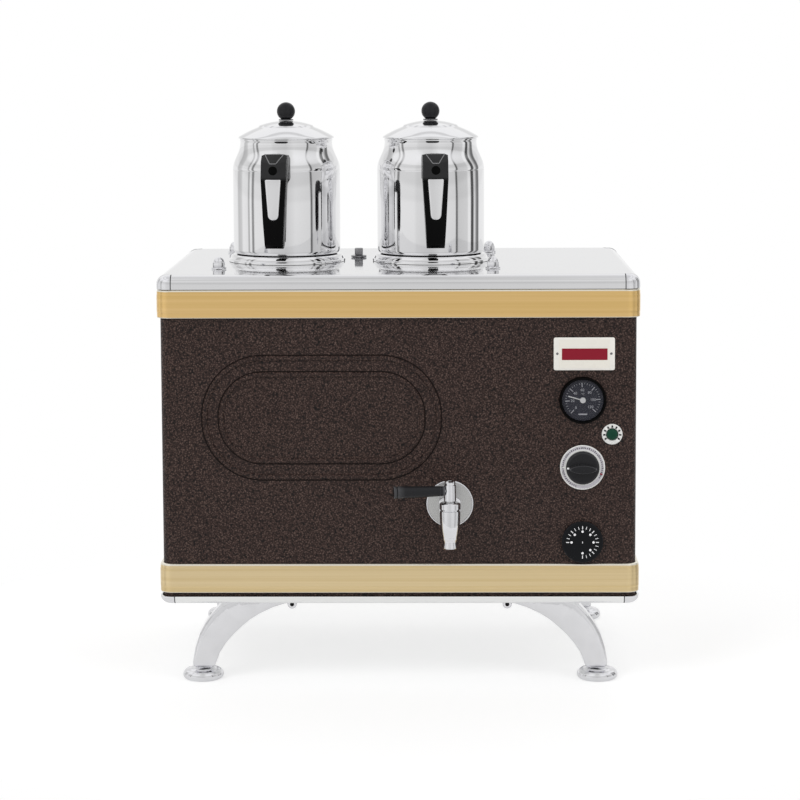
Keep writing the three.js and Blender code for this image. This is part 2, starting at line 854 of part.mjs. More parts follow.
// The element lies along -X: a head outside the wall, a shank through it and a bent tube
function heatingElement() {
  const seat = elementGasketThickness + 2 * clearance;
  const straight = elementTubeReach - elementTubeHalfSpan;
  const head = toRight(rod(elementHeadRadius, elementHeadThickness, 6)).translate(seat, 0, 0);
  const stub = toRight(rod(elementStubRadius, elementHeadThickness + elementStubLength, tinySides));
  const shank = toRight(rod(elementShankRadius, elementShankReach + seat + elementHeadThickness / 2));
  const parts = [head, stub.translate(seat, 0, 0), shank.translate(-elementShankReach, 0, 0)];
  for (const side of [-1, 1]) {
    const arm = toRight(rod(elementTubeRadius, straight, tinySides));
    parts.push(arm.translate(-straight, side * elementTubeHalfSpan, 0));
  }
  const bend = [];
  for (let i = 0; i <= 2 * cornerSteps; i++) {
    const angle = (quarterTurn * i) / cornerSteps;
    const x = -straight + clearance - elementTubeHalfSpan * Math.sin(angle);
    bend.push(new THREE.Vector3(x, elementTubeHalfSpan * Math.cos(angle), 0));
  }
  parts.push(pipe(bend, elementTubeRadius, 2 * cornerSteps, tinySides));
  return join(...parts);
}

// The collar that a teapot stands in: a flange on the cover, a rounded crown and a skirt
// that reaches down through the cover into the tank
function potCollar() {
  const crown = clearance + collarRise;
  return ring(
    [
      [collarBore, -collarSkirtDepth],
      [collarSkirtRadius, -collarSkirtDepth],
      [collarSkirtRadius, clearance],
      [collarFlangeRadius, clearance],
      [collarFlangeRadius, collarFlangeHeight],
      [(collarFlangeRadius + collarCrownRadius) / 2, crown - collarFlangeHeight / 2],
      [collarCrownRadius, crown],
      [collarSeatRadius, crown],
      [collarBore, crown - collarFlangeHeight / 2],
    ],
    largeSides,
  );
}

function capNut() {
  const seat = clearance;
  const bodyTop = seat + nutFlangeHeight + nutBodyHeight;
  const bore = studRadius + clearance;
  const dome = nutDomeShares.map(([radiusShare, heightShare]) => [
    radiusShare * nutBodyRadius,
    bodyTop + heightShare * nutDomeHeight,
  ]);
  return turned(
    [
      [0, bodyTop + clearance],
      [bore, bodyTop + clearance],
      [bore, seat],
      [nutFlangeRadius, seat],
      [nutFlangeRadius, seat + nutFlangeHeight],
      [nutBodyRadius, seat + nutFlangeHeight],
      ...dome,
    ],
    tinySides,
  );
}

function fillerPlug() {
  const stem = rod(plugStemRadius, plugStemDepth + plugFlangeHeight, tinySides);
  const flange = rod(plugFlangeRadius, plugFlangeHeight);
  const head = block(plugHeadSize, plugHeadSize, plugFlangeHeight + plugHeadHeight);
  return join(stem.translate(0, 0, -plugStemDepth), flange, head);
}

function makeTank() {
  const tank = subassembly();
  piece(tank, "water_tank", waterTank(), "brushed");
  const element = new THREE.Group();
  element.position.set(tankRight, elementY, elementZ);
  tank.add(element);
  piece(element, "heating_element", heatingElement(), "copper");
  const bore = elementShankRadius + clearance;
  const seal = washer(bore, elementGasketRadius, elementGasketThickness);
  piece(element, "element_gasket", toRight(seal), "rubber").position.x = clearance;
  const nut = toRight(hexNut(bore, elementNutRadius, elementNutThickness));
  const nutX = -tankWall - clearance - elementNutThickness;
  piece(element, "element_nut", nut, "brushed").position.x = nutX;
  for (const [side, x] of potPlaces) {
    piece(tank, `pot_collar_${side}`, potCollar(), "polished").position.set(x, potsY, coverTop);
  }
  for (const [corner, x, y] of boltPlaces) {
    piece(tank, `cap_nut_${corner}`, capNut(), "chrome").position.set(x, y, coverTop);
  }
  const plug = piece(tank, "filler_plug", fillerPlug(), "chrome");
  plug.position.set(plugX, plugY, coverTop + clearance);
}

// A teapot's outline from its foot up, as [radius, height] over its seat on the collar
function potOutline(inset) {
  return [
    [0, inset - potSpigotDepth],
    [potSpigotRadius - inset, inset - potSpigotDepth],
    [potSpigotRadius - inset, inset],
    [potRadius - potFootRadius, inset],
    [potRadius - inset, potFootHeight],
    ...potShoulderShares.map(([inwardShare, upwardShare]) => [
      potRadius - inset - inwardShare * (potRadius - potNeckRadius),
      potShoulderHeight + upwardShare * (potNeckStart - potShoulderHeight),
    ]),
  ];
}

function spout(radiusInset, from, to) {
  const along = new THREE.Vector3(0, spoutReach - spoutRootReach, spoutTipHeight - spoutRoot);
  const length = along.length();
  const narrow = (share) => spoutRootRadius + (spoutTipRadius - spoutRootRadius) * share;
  const cone = taper(narrow(from) - radiusInset, narrow(to) - radiusInset, (to - from) * length);
  cone.translate(0, 0, from * length);
  cone.rotateX(-Math.atan2(along.y, along.z));
  return cone.translate(0, spoutRootReach, spoutRoot);
}

function potBody() {
  const outside = turned([...potOutline(0), [potNeckRadius, potHeight], [0, potHeight]], largeSides);
  const above = potHeight + overrun;
  const inner = [...potOutline(potWall), [potNeckRadius - potWall, above], [0, above]];
  const inside = turned(inner, largeSides);
  const bracketInner = potRadius - potWall / 2;
  const bracket = block(
    bracketWidth,
    bracketReach - bracketInner,
    bracketHeight,
    0,
    -(bracketReach + bracketInner) / 2,
    bracketLift - bracketHeight / 2,
  );
  const lipCut = block(4 * spoutTipRadius, 4 * spoutRootRadius, spoutTipHeight, 0, spoutReach, spoutTipHeight);
  const bore = spout(spoutWall, spoutBoreRootShare, spoutBoreTipShare);
  return cut(join(outside, spout(0, 0, spoutTipShare), bracket), inside, bore, lipCut);
}

function potLid() {
  const step = lidStepRadius;
  const inner = potNeckRadius - potWall - lidSkirtGap;
  const dome = (radius) => lidRimHeight + lidDomeHeight * (1 - (radius / lidRadius) ** 2);
  const raised = (radius) => dome(radius) + lidStepHeight;
  return turned(
    [
      [0, raised(0)],
      [step / 2, raised(step / 2)],
      [step, raised(step)],
      [step + lidStepHeight / 2, dome(step)],
      [(step + lidRadius) / 2, dome((step + lidRadius) / 2)],
      [lidRadius - lidSheet, dome(lidRadius - lidSheet)],
      [lidRadius, lidRimHeight - lidSheet / 2],
      [lidRadius, clearance],
      [inner, clearance],
      [inner, -lidSkirtDepth],
      [inner - lidSheet, -lidSkirtDepth],
      [inner - lidSheet, dome(inner) - lidSheet],
      [step, dome(step) - lidSheet],
      [step / 2, raised(step / 2) - lidSheet],
      [0, raised(0) - lidSheet],
    ],
    largeSides,
  );
}

function lidKnob() {
  const outline = [[0, clearance], [knobWasherRadius, clearance]];
  outline.push([knobWasherRadius, clearance + knobWasherHeight]);
  const neck = Math.asin(knobNeckRadius / knobRadius);
  const ballZ = clearance + knobWasherHeight + knobRadius * Math.cos(neck);
  for (let i = 0; i <= 2 * cornerSteps; i++) {
    const angle = neck + ((2 * quarterTurn - neck) * i) / (2 * cornerSteps);
    const radius = i === 2 * cornerSteps ? 0 : knobRadius * Math.sin(angle);
    outline.push([radius, ballZ - knobRadius * Math.cos(angle)]);
  }
  return turned(outline);
}

// The handle: its side outline, extruded across, tapered to its foot from the front
function potHandle() {
  const bottom = handleTop - handleLength;
  const armBase = handleTop - handleArmHeight;
  const gripIn = handleOut - handleGrip;
  const side = new THREE.Shape();
  side.moveTo(-handleIn, armBase);
  side.lineTo(-handleIn, handleTop - handleArmHeight / 5);
  side.lineTo(-(handleOut + handleIn) / 2, handleTop);
  side.lineTo(handleScrewDepth - handleOut, handleTop);
  side.lineTo(-handleOut, handleTop - handleScrewDepth);
  side.lineTo(-handleOut, handleTop - insertDrop - insertLength - insertThickness);
  side.lineTo(handleEndGrip / 4 - handleOut, bottom + handleEndGrip / 4);
  side.lineTo(handleEndGrip / 2 - handleOut, bottom);
  side.lineTo(-(gripIn + handleScrewDepth), bottom);
  side.lineTo(-gripIn, bottom + handleEndGrip / 4);
  side.lineTo(handleScrewDepth / 2 - gripIn, (bottom + armBase) / 2);
  side.lineTo(-gripIn, armBase - handleScrewDepth);
  side.lineTo(handleScrewDepth - gripIn, armBase);
  side.closePath();
  const slab = new THREE.ExtrudeGeometry(side, { depth: handleWidth, bevelEnabled: false });
  slab.rotateX(quarterTurn).rotateZ(quarterTurn).translate(-handleWidth / 2, 0, 0);
  const face = new THREE.Shape();
  face.moveTo(-handleEndWidth / 2, bottom - overrun);
  face.lineTo(handleEndWidth / 2, bottom - overrun);
  face.lineTo(handleWidth / 2, handleTop - handleArmHeight);
  face.lineTo(handleWidth / 2, handleTop + overrun);
  face.lineTo(-handleWidth / 2, handleTop + overrun);
  face.lineTo(-handleWidth / 2, handleTop - handleArmHeight);
  face.closePath();
  const front = new THREE.ExtrudeGeometry(face, { depth: handleOut, bevelEnabled: false });
  front.rotateX(quarterTurn).translate(0, -overrun, 0);
  const socket = block(
    bracketWidth + 2 * clearance,
    bracketReach + clearance - potRadius,
    bracketHeight + 2 * clearance,
    0,
    -(bracketReach + clearance + potRadius) / 2,
    bracketLift - bracketHeight / 2 - clearance,
  );
  const screw = toFront(rod(handleScrewRadius, handleScrewDepth + overrun, tinySides));
  screw.translate(0, handleScrewDepth - handleOut, handleTop - handleScrewDrop);
  return cut(common(slab, front), socket, screw, insertForm(clearance, overrun));
}

// The steel insert in the handle's face; grown by a clearance it is the pocket for it
function insertForm(grow, proud) {
  const top = handleTop - insertDrop + grow;
  const end = insertEndWidth / 2 + grow;
  const foot = handleTop - insertDrop - insertLength - grow;
  const outline = new THREE.Shape();
  outline.moveTo(-insertWidth / 2 - grow, top);
  outline.lineTo(-end, foot + end);
  outline.absarc(0, foot + end, end, 2 * quarterTurn, 4 * quarterTurn);
  outline.lineTo(insertWidth / 2 + grow, top);
  outline.closePath();
  const depth = insertThickness + grow + proud;
  const form = new THREE.ExtrudeGeometry(outline, {
    depth,
    bevelEnabled: false,
    curveSegments: 2 * cornerSteps,
  });
  return form.rotateX(quarterTurn).translate(0, insertThickness + grow - handleOut, 0);
}

function makePots() {
  for (const [side, x, turn] of potPlaces) {
    const pot = subassembly(x, potsY, potBase);
    pot.rotation.z = THREE.MathUtils.degToRad(turn);
    piece(pot, `pot_body_${side}`, potBody(), "polished");
    piece(pot, `pot_handle_${side}`, potHandle(), "bakelite");
    piece(pot, `handle_insert_${side}`, insertForm(0, insertProud), "polished");
    const lid = new THREE.Group();
    lid.position.z = potHeight;
    pot.add(lid);
    piece(lid, `pot_lid_${side}`, potLid(), "polished");
    const knob = piece(lid, `lid_knob_${side}`, lidKnob(), "bakelite");
    knob.position.z = lidRimHeight + lidDomeHeight + lidStepHeight;
  }
}

// The tap: heights from the water line, which is the centre of the flange
function tapBody() {
  const top = tapBodyRise;
  const body = turned([
    [0, -tapNozzleDrop],
    [tapNozzleRadius, -tapNozzleDrop],
    [tapNozzleRadius - trimStripDepth / 2, -tapBodyDrop - trimLip],
    [tapBodyBottomRadius, -tapBodyDrop],
    [(tapBodyTopRadius + tapBodyBottomRadius) / 2 + trimLip / 2, -tapBodyDrop / 2],
    [tapBodyTopRadius - trimStripDepth, 0],
    [tapBodyTopRadius, top - 2 * trimLip],
    [tapBodyTopRadius, top + trimLip],
    [0, top + trimLip],
  ]);
  const nutFace = tapAxisReach - tapFlangeThickness - 2 * clearance;
  const nut = toBack(rod(tapNutRadius, tapNutThickness, 6));
  nut.translate(0, nutFace - tapNutThickness, 0);
  const arm = toBack(rod(tapArmRadius, nutFace - tapNutThickness / 2));
  const shankStart = nutFace - tapNutThickness / 2;
  const shankEnd = tapAxisReach + tapShankLength;
  const shank = toBack(rod(tapShankRadius, shankEnd - shankStart)).translate(0, shankStart, 0);
  const water = toBack(rod(tapWaterRadius, shankEnd + overrun, tinySides));
  water.translate(0, 0, -tapWaterDrop);
  const nutSpace = packingNutRadius + clearance;
  const bore = turned([
    [0, -tapPlugDrop],
    [tapPlugBottomRadius + clearance, -tapPlugDrop],
    [tapPlugTopRadius + clearance, top],
    [nutSpace, top],
    [nutSpace, top + packingNutHeight],
    [0, top + packingNutHeight],
  ]);
  const nozzle = rod(tapWaterRadius, tapNozzleDrop + overrun, tinySides);
  nozzle.translate(0, 0, -tapNozzleDrop - overrun);
  return cut(join(body, nut, arm, shank), water, bore, nozzle);
}

// The plug turns in the body; its port faces the inlet when the lever points forwards
function tapPlug() {
  const top = tapBodyRise - clearance;
  const stemTop = tapBodyRise + clearance + packingNutHeight;
  const low = clearance - tapPlugDrop;
  const cone = taper(tapPlugBottomRadius, tapPlugTopRadius, top - low).translate(0, 0, low);
  const stem = rod(tapStemRadius, stemTop - top + trimLip, tinySides).translate(0, 0, top - trimLip);
  const tip = rod(tapTipRadius, tapTipLength + trimLip, tinySides).translate(0, 0, stemTop - trimLip);
  const boreTop = tapPortRadius - tapWaterDrop;
  const bore = rod(tapPortRadius, boreTop - low + overrun, tinySides).translate(0, 0, low - overrun);
  const port = toRight(rod(tapPortRadius, tapPlugTopRadius + overrun, tinySides));
  return cut(join(cone, stem, tip), bore, port.translate(0, 0, -tapWaterDrop));
}

function packingNut() {
  const bore = tapStemRadius + clearance;
  return ring([
    [bore, 0],
    [packingNutRadius - trimLip, 0],
    [packingNutRadius, trimLip],
    [packingNutRadius, packingNutHeight - 2 * trimLip],
    [packingNutRadius - 2 * trimLip, packingNutHeight],
    [bore, packingNutHeight],
  ]);
}

function leverHead() {
  const body = turned([
    [0, 0],
    [headRadius, 0],
    [headRadius, headHeight - trimLip],
    [headRadius - trimLip, headHeight],
    [0, headHeight],
  ]);
  const socket = rod(tapTipRadius + clearance, tapTipLength + clearance, tinySides);
  const arm = toRight(rod(leverArmRadius, leverArmReach, tinySides));
  arm.translate(-leverArmReach, 0, headHeight - leverDrop);
  const notch = block(
    headNotchWidth,
    2 * (headRadius + overrun),
    headNotchDepth + overrun,
    0,
    0,
    headHeight - headNotchDepth,
  );
  return cut(join(body, arm), socket, notch);
}

function tapGrip() {
  const start = headRadius + clearance;
  const grip = turned([
    [0, start],
    [gripInnerRadius, start],
    [gripOuterRadius, gripEnd - gripRounding],
    [gripOuterRadius - gripRounding, gripEnd],
    [0, gripEnd],
  ]);
  const bore = rod(leverArmRadius + clearance, leverArmReach + clearance, tinySides);
  return cut(grip, bore).rotateY(-quarterTurn);
}

function makeTap() {
  const wall = subassembly(tapX, trimProud, tapZ);
  const bore = tapShankRadius + clearance;
  const flange = [
    [bore, clearance],
    [tapFlangeRadius, clearance],
    [tapFlangeRadius, tapFlangeThickness / 2],
    [tapFlangeRadius - trimLip, tapFlangeThickness + clearance],
    [bore, tapFlangeThickness + clearance],
  ];
  piece(wall, "tap_flange", toFront(ring(flange, largeSides)), "brushed");
  const tankInside = tankFront + tankWall + clearance - trimProud;
  const gasket = toBack(washer(bore, tapGasketRadius, tapGasketThickness));
  piece(wall, "tap_gasket", gasket, "rubber").position.y = tankInside;
  const backNut = toBack(hexNut(bore, tapBackNutRadius, tapBackNutThickness));
  const backNutY = tankInside + tapGasketThickness + clearance;
  piece(wall, "tap_back_nut", backNut, "chrome").position.y = backNutY;
  const tap = subassembly(tapX, tapAxisY, tapZ);
  piece(tap, "tap_body", tapBody(), "chrome");
  piece(tap, "tap_plug", tapPlug(), "brushed");
  const nut = piece(tap, "tap_packing_nut", packingNut(), "chrome");
  nut.position.z = tapBodyRise + clearance;
  const lever = new THREE.Group();
  lever.position.z = tapBodyRise + packingNutHeight + 2 * clearance + clearance;
  lever.rotation.z = leverAngle;
  tap.add(lever);
  piece(lever, "tap_lever_head", leverHead(), "chrome");
  const grip = piece(lever, "tap_grip", tapGrip(), "bakelite");
  grip.position.z = headHeight - leverDrop;
}

// A bulb in the tank and the capillary that joins it to an instrument behind the panel,
// in the instrument's own frame: the front panel at y = 0, its axis at x = z = 0
function bulbLine(depth) {
  const bulbZ = -bulbDrop;
  const gapX = tankRight + clearance - controlX;
  const y = bulbY - trimProud;
  const gland = toRight(rod(bulbGlandRadius, bulbGlandLength, tinySides)).translate(gapX, y, bulbZ);
  const bulb = toRight(rod(bulbRadius, bulbLength + overrun, tinySides));
  bulb.translate(gapX - bulbLength, y, bulbZ);
  const reach = y - depth;
  const points = [
    new THREE.Vector3(0, depth - overrun, 0),
    new THREE.Vector3(0, depth + reach / 3, bulbZ / 10),
    new THREE.Vector3(gapX / 5, depth + (reach * 2) / 3, bulbZ / 2),
    new THREE.Vector3(gapX / 2, y, bulbZ),
    new THREE.Vector3(gapX + bulbGlandLength / 2, y, bulbZ),
  ];
  return [gland, bulb, pipe(points, capillaryRadius, capillarySteps, capillarySides)];
}

function thermometerCase() {
  const face = bezelHeight - dialDepth;
  const body = toFront(
    turned(
      [
        [0, -thermometerBodyDepth],
        [thermometerBodyRadius, -thermometerBodyDepth],
        [thermometerBodyRadius, clearance],
        [bezelRadius, clearance],
        [bezelRadius, bezelHeight - bezelLip],
        [bezelRadius - bezelLip / 2, bezelHeight - bezelLip / 4],
        [bezelRadius - bezelLip, bezelHeight],
        [dialRadius, bezelHeight - bezelLip / 2],
        [dialRadius, face],
        [0, face],
      ],
      largeSides,
    ),
  );
  return join(body, ...bulbLine(thermometerBodyDepth));
}

function thermometerNeedle() {
  const hub = rod(needleHubRadius, needleHubHeight, tinySides);
  const pointer = block(needleLength + needleTail, needleWidth, needleThickness);
  pointer.translate((needleLength - needleTail) / 2, 0, needleHubHeight / 4);
  return toFront(join(hub, pointer).rotateZ(THREE.MathUtils.degToRad(needleAngle)));
}

// A box behind the panel with its bush and shaft through it, and a bulb line if it has one
function regulator(shaftLength, ...lines) {
  const body = block(regulatorWidth, regulatorHeight, regulatorDepth, 0, 0, -regulatorBack);
  const bush = rod(shaftBushRadius, regulatorBack - regulatorDepth / 2, tinySides);
  bush.translate(0, 0, regulatorDepth / 2 - regulatorBack);
  const shaft = rod(shaftRadius, shaftLength + clearance, tinySides).translate(0, 0, -clearance);
  return join(...[body, bush, shaft].map(toFront), ...lines);
}

function thermostatKnob() {
  const base = scaleRingThickness + 2 * clearance;
  const skirt = turned([
    [0, base],
    [thermostatKnobRadius, base],
    [thermostatKnobRadius, base + knobSkirtHeight / 2],
    [thermostatKnobRadius - trimLip, base + knobSkirtHeight],
    [0, base + knobSkirtHeight],
  ]);
  const bar = block(knobBarLength, knobBarWidth, knobBarHeight, 0, 0, base);
  const bore = rod(shaftRadius + clearance, shaftReach + clearance, tinySides);
  return toFront(cut(join(skirt, bar), bore));
}

function switchDial() {
  const top = clearance + switchDialHeight;
  const inner = switchDialRadius - switchDialRim;
  const disc = turned(
    [
      [0, clearance],
      [switchDialRadius, clearance],
      [switchDialRadius, top - switchDialRim],
      [inner, top],
      [0, top],
    ],
    largeSides,
  );
  return toFront(cut(disc, rod(shaftRadius + clearance, switchShaftReach + clearance, tinySides)));
}

function lampHousing() {
  return toFront(
    turned([
      [0, -lampBodyDepth],
      [lampBodyRadius, -lampBodyDepth],
      [lampBodyRadius, clearance],
      [lampRingRadius, clearance],
      [lampRingRadius, lampRingHeight - lampRingHeight / 4],
      [lampRingRadius - lampRingHeight / 4, lampRingHeight],
      [lampLensRadius + clearance, lampRingHeight],
      [lampLensRadius + clearance, -lampSocketDepth],
      [0, -lampSocketDepth],
    ]),
  );
}

function lampLens() {
  const base = clearance - lampSocketDepth;
  const dome = lampLensHeight - lampRingHeight;
  return toFront(
    turned([
      [0, base],
      [lampLensRadius, base],
      [lampLensRadius, lampRingHeight],
      [lampLensRadius * Math.SQRT1_2, lampRingHeight + dome * Math.SQRT1_2],
      [0, lampRingHeight + dome],
    ]),
  );
}

function makeControls() {
  const thermometer = subassembly(controlX, trimProud, thermometerZ);
  piece(thermometer, "thermometer_case", thermometerCase(), "bakelite");
  const needle = piece(thermometer, "thermometer_needle", thermometerNeedle(), "white");
  needle.position.y = dialDepth - bezelHeight - clearance;
  const glass = toFront(rod(dialRadius - clearance, glassThickness, largeSides));
  const glassY = bezelLip - bezelHeight + glassThickness;
  piece(thermometer, "thermometer_glass", glass, "clear").position.y = glassY;
  const lamp = subassembly(lampX, trimProud, lampZ);
  piece(lamp, "lamp_housing", lampHousing(), "white");
  piece(lamp, "lamp_lens", lampLens(), "green");
  const thermostat = subassembly(controlX, trimProud, thermostatZ);
  const line = bulbLine(regulatorBack);
  piece(thermostat, "thermostat_body", regulator(shaftReach, ...line), "galvanised");
  const bore = shaftBushRadius + clearance;
  const scale = [
    [bore, clearance],
    [scaleRingRadius, clearance],
    [scaleRingRadius, scaleRingThickness + clearance],
    [bore, scaleRingThickness + clearance],
  ];
  piece(thermostat, "thermostat_scale_ring", toFront(ring(scale, largeSides)), "white");
  piece(thermostat, "thermostat_knob", thermostatKnob(), "bakelite");
  const switcher = subassembly(controlX, trimProud, switchZ);
  piece(switcher, "switch_body", regulator(switchShaftReach), "galvanised");
  piece(switcher, "switch_dial", switchDial(), "bakelite");
  const plate = subassembly(plateX, trimProud, plateZ);
  const sheet = block(plateWidth, plateHeight, plateThickness, 0, 0, clearance);
  piece(plate, "name_plate", toFront(sheet), "white");
}

makeCasing();
makeLegs();
makeTank();
makePots();
makeTap();
makeControls();

export default urn;
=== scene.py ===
# %% [markdown]
# # A tea urn with two teapots
#
# A tea urn is a cabinet of sheet metal with a water tank inside. Its solids come in as a
# fixed frame, and every piece of this lesson takes its place from them. A piece gives one of
# them a finish, or stands in front of it with a finer surface. Makers of sheet metal think in
# millimetres, so all sizes here are in millimetres, and a piece is scaled to Blender's metres
# once, when it is put in place.

# %% Load the frame
import json
import math

import bmesh
import bpy
from mathutils import Matrix, Vector
from mathutils.geometry import interpolate_bezier


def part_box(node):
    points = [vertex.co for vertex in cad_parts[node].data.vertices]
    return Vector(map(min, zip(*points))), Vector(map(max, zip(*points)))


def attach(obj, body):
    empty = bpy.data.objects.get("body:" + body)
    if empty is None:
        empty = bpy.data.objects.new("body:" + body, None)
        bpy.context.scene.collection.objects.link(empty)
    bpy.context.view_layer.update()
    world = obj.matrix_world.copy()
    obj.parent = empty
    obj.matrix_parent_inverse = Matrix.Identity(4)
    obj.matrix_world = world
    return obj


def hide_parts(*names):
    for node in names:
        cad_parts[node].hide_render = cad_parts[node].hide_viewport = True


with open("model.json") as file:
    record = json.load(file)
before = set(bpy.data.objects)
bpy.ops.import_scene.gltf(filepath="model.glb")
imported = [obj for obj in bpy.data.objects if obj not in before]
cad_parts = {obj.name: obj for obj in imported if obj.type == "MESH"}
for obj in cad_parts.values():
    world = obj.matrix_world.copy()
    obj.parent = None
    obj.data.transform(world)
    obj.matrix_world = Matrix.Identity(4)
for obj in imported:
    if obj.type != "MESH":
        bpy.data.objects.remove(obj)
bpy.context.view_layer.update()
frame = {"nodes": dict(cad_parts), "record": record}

MM = 0.001

# %% [markdown]
# ## Places
#
# Every size that ties a fine piece to the urn is read from the box of the solid that it
# stands for, so nothing has to be fitted by eye. The front of the trim bands is the plane
# that the photograph's measures refer to.

# %% Read the places
def corners_of(node):
    low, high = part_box(node)
    return low / MM, high / MM


def middle(node):
    low, high = corners_of(node)
    return (low + high) / 2


band_low, band_high = corners_of("upper_trim_band")
half_width, half_depth = (band_high.x - band_low.x) / 2, (band_high.y - band_low.y) / 2
centre_y = (band_low.y + band_high.y) / 2
shell_low, shell_high = corners_of("cabinet_shell")
panel_y = shell_low.y
corner_radius = 14
print("half width", round(half_width, 1), "half depth", round(half_depth, 1))

# %% [markdown]
# ## Camera
#
# The photograph was taken from about 2.5 m with a long lens, a little above the teapots. The
# upright edges stay parallel there, which a view camera does with a shifted lens. A small
# shift and a small tilt together come within two pixels of that, and keep the object in the
# frame from other sides too.

# %% Point the camera
camera = bpy.data.objects.new("camera", bpy.data.cameras.new("camera"))
bpy.context.scene.collection.objects.link(camera)
camera.data.lens, camera.data.sensor_width, camera.data.shift_y = 110, 36, -0.12
turn_left, look_down, roll = (math.radians(angle) for angle in (0.947, 5.974, -0.25))
camera.matrix_world = (
    Matrix.Translation(Vector((43.5, -2652.6, 663.1)) * MM)
    @ Matrix.Rotation(turn_left, 4, "Z")
    @ Matrix.Rotation(math.pi / 2 - look_down, 4, "X")
    @ Matrix.Rotation(roll, 4, "Z")
)
bpy.context.scene.camera = camera
bpy.context.scene.view_settings.view_transform = "Standard"
print("camera at", [round(value, 3) for value in camera.location])

# %% [markdown]
# ## Studio
#
# Mirror-bright steel shows its surroundings, not its own colour. A product photographer
# therefore puts white sheets all round and a few narrow dark gaps between them, and the gaps
# become the dark upright stripes on the teapots. Here the world does the same: rays that
# bounce off metal see white with a few dark bands by compass direction, while the camera sees
# plain white, and matt surfaces get an even light.

# %% Node helpers
def add(tree, kind, values=None, **settings):
    node = tree.nodes.new(kind)
    for key, value in settings.items():
        setattr(node, key, value)
    for key, value in (values or {}).items():
        node.inputs[key].default_value = value
    return node


def link(tree, start, output, end, socket):
    tree.links.new(start.outputs[output], end.inputs[socket])


# %% Surround the urn with white sheets and dark gaps
world = bpy.data.worlds.new("studio")
bpy.context.scene.world = world
world.use_nodes = True
sky = world.node_tree
sky.nodes.clear()
direction = add(sky, "ShaderNodeTexCoord")
parts = add(sky, "ShaderNodeSeparateXYZ")
link(sky, direction, "Generated", parts, 0)
forward = add(sky, "ShaderNodeMath", {1: -1.0}, operation="MULTIPLY")
link(sky, parts, "Y", forward, 0)
compass = add(sky, "ShaderNodeMath", operation="ARCTAN2")
link(sky, parts, "X", compass, 0)
link(sky, forward, 0, compass, 1)
circle_share = add(sky, "ShaderNodeMapRange", {1: -math.pi, 2: math.pi})
link(sky, compass, 0, circle_share, 0)
bands = add(sky, "ShaderNodeValToRGB")
link(sky, circle_share, 0, bands, 0)
band_stops = [
    (-180, 0.97), (-130, 0.95), (-124, 0.62), (-112, 0.7), (-106, 0.95), (-90, 0.9), (-88, 0.5),
    (-85, 0.5), (-83, 0.95), (-79, 0.95), (-77, 0.3), (-73, 0.3), (-71, 0.9), (-36, 0.88),
    (-30, 0.8), (2, 0.72), (22, 0.86), (55, 0.8), (57, 0.12), (59.5, 0.12), (61.5, 0.68), (86, 0.74),
    (90, 0.95), (96, 0.9), (98, 0.08), (105, 0.1), (108, 0.9), (118, 0.2), (124, 0.2), (128, 0.95),
    (180, 0.97),
]
stops = bands.color_ramp.elements
for angle, brightness in band_stops[1:-1]:
    stops.new((angle + 180) / 360)
for stop, (angle, brightness) in zip(stops, band_stops):
    stop.position, stop.color = (angle + 180) / 360, (brightness, brightness, brightness, 1)
print("bands", len(stops))

# %% Close the studio overhead, with a dim ring above the horizon and one near the lamps
overhead = add(sky, "ShaderNodeMapRange", {1: 0.45, 2: 0.75})
link(sky, parts, "Z", overhead, 0)
sideways = add(sky, "ShaderNodeMath", operation="ABSOLUTE")
link(sky, compass, 0, sideways, 0)
beside_camera = add(sky, "ShaderNodeMapRange", {1: math.radians(18), 2: math.radians(26)})
link(sky, sideways, 0, beside_camera, 0)
sheet_share = add(sky, "ShaderNodeMath", operation="MULTIPLY")
link(sky, overhead, 0, sheet_share, 0)
link(sky, beside_camera, 0, sheet_share, 1)
roof = add(sky, "ShaderNodeMix", {7: (0.96, 0.96, 0.97, 1)}, data_type="RGBA")
link(sky, sheet_share, 0, roof, 0)
link(sky, bands, 0, roof, 6)
height = add(sky, "ShaderNodeMapRange", {1: -1.0, 2: 1.0})
link(sky, parts, "Z", height, 0)
rings = add(sky, "ShaderNodeValToRGB")
link(sky, height, 0, rings, 0)
ring_stops = [(-1, 0.7), (-0.4, 0.84), (-0.08, 0.95), (0.04, 0.95), (0.08, 0.88), (0.2, 0.9), (0.26, 0.8),
              (0.42, 0.82), (0.48, 1), (0.78, 1), (0.8, 0.74), (0.83, 0.74), (0.86, 1), (0.91, 0.96), (0.94, 0.76), (1, 0.74)]
stops = rings.color_ramp.elements
for rise, brightness in ring_stops[1:-1]:
    stops.new((rise + 1) / 2)
for stop, (rise, brightness) in zip(stops, ring_stops):
    stop.position, stop.color = (rise + 1) / 2, (brightness, brightness, brightness, 1)
glossy = add(sky, "ShaderNodeMix", {0: 1.0}, data_type="RGBA", blend_type="MULTIPLY")
link(sky, roof, 2, glossy, 6)
link(sky, rings, 0, glossy, 7)

# %% Set what each ray sees
rays = add(sky, "ShaderNodeLightPath")
even_light = 0.66
soft = add(sky, "ShaderNodeMix", {6: (even_light, even_light, even_light, 1)}, data_type="RGBA")
link(sky, rays, "Is Glossy Ray", soft, 0)
link(sky, glossy, 2, soft, 7)
straight = add(sky, "ShaderNodeMath", operation="MAXIMUM")
link(sky, rays, "Is Camera Ray", straight, 0)
link(sky, rays, "Is Transmission Ray", straight, 1)
seen = add(sky, "ShaderNodeMix", {7: (1, 1, 1, 1)}, data_type="RGBA")
link(sky, straight, 0, seen, 0)
link(sky, soft, 2, seen, 6)
background = add(sky, "ShaderNodeBackground")
link(sky, seen, 2, background, 0)
link(sky, background, 0, add(sky, "ShaderNodeOutputWorld"), 0)
print("even light", even_light)

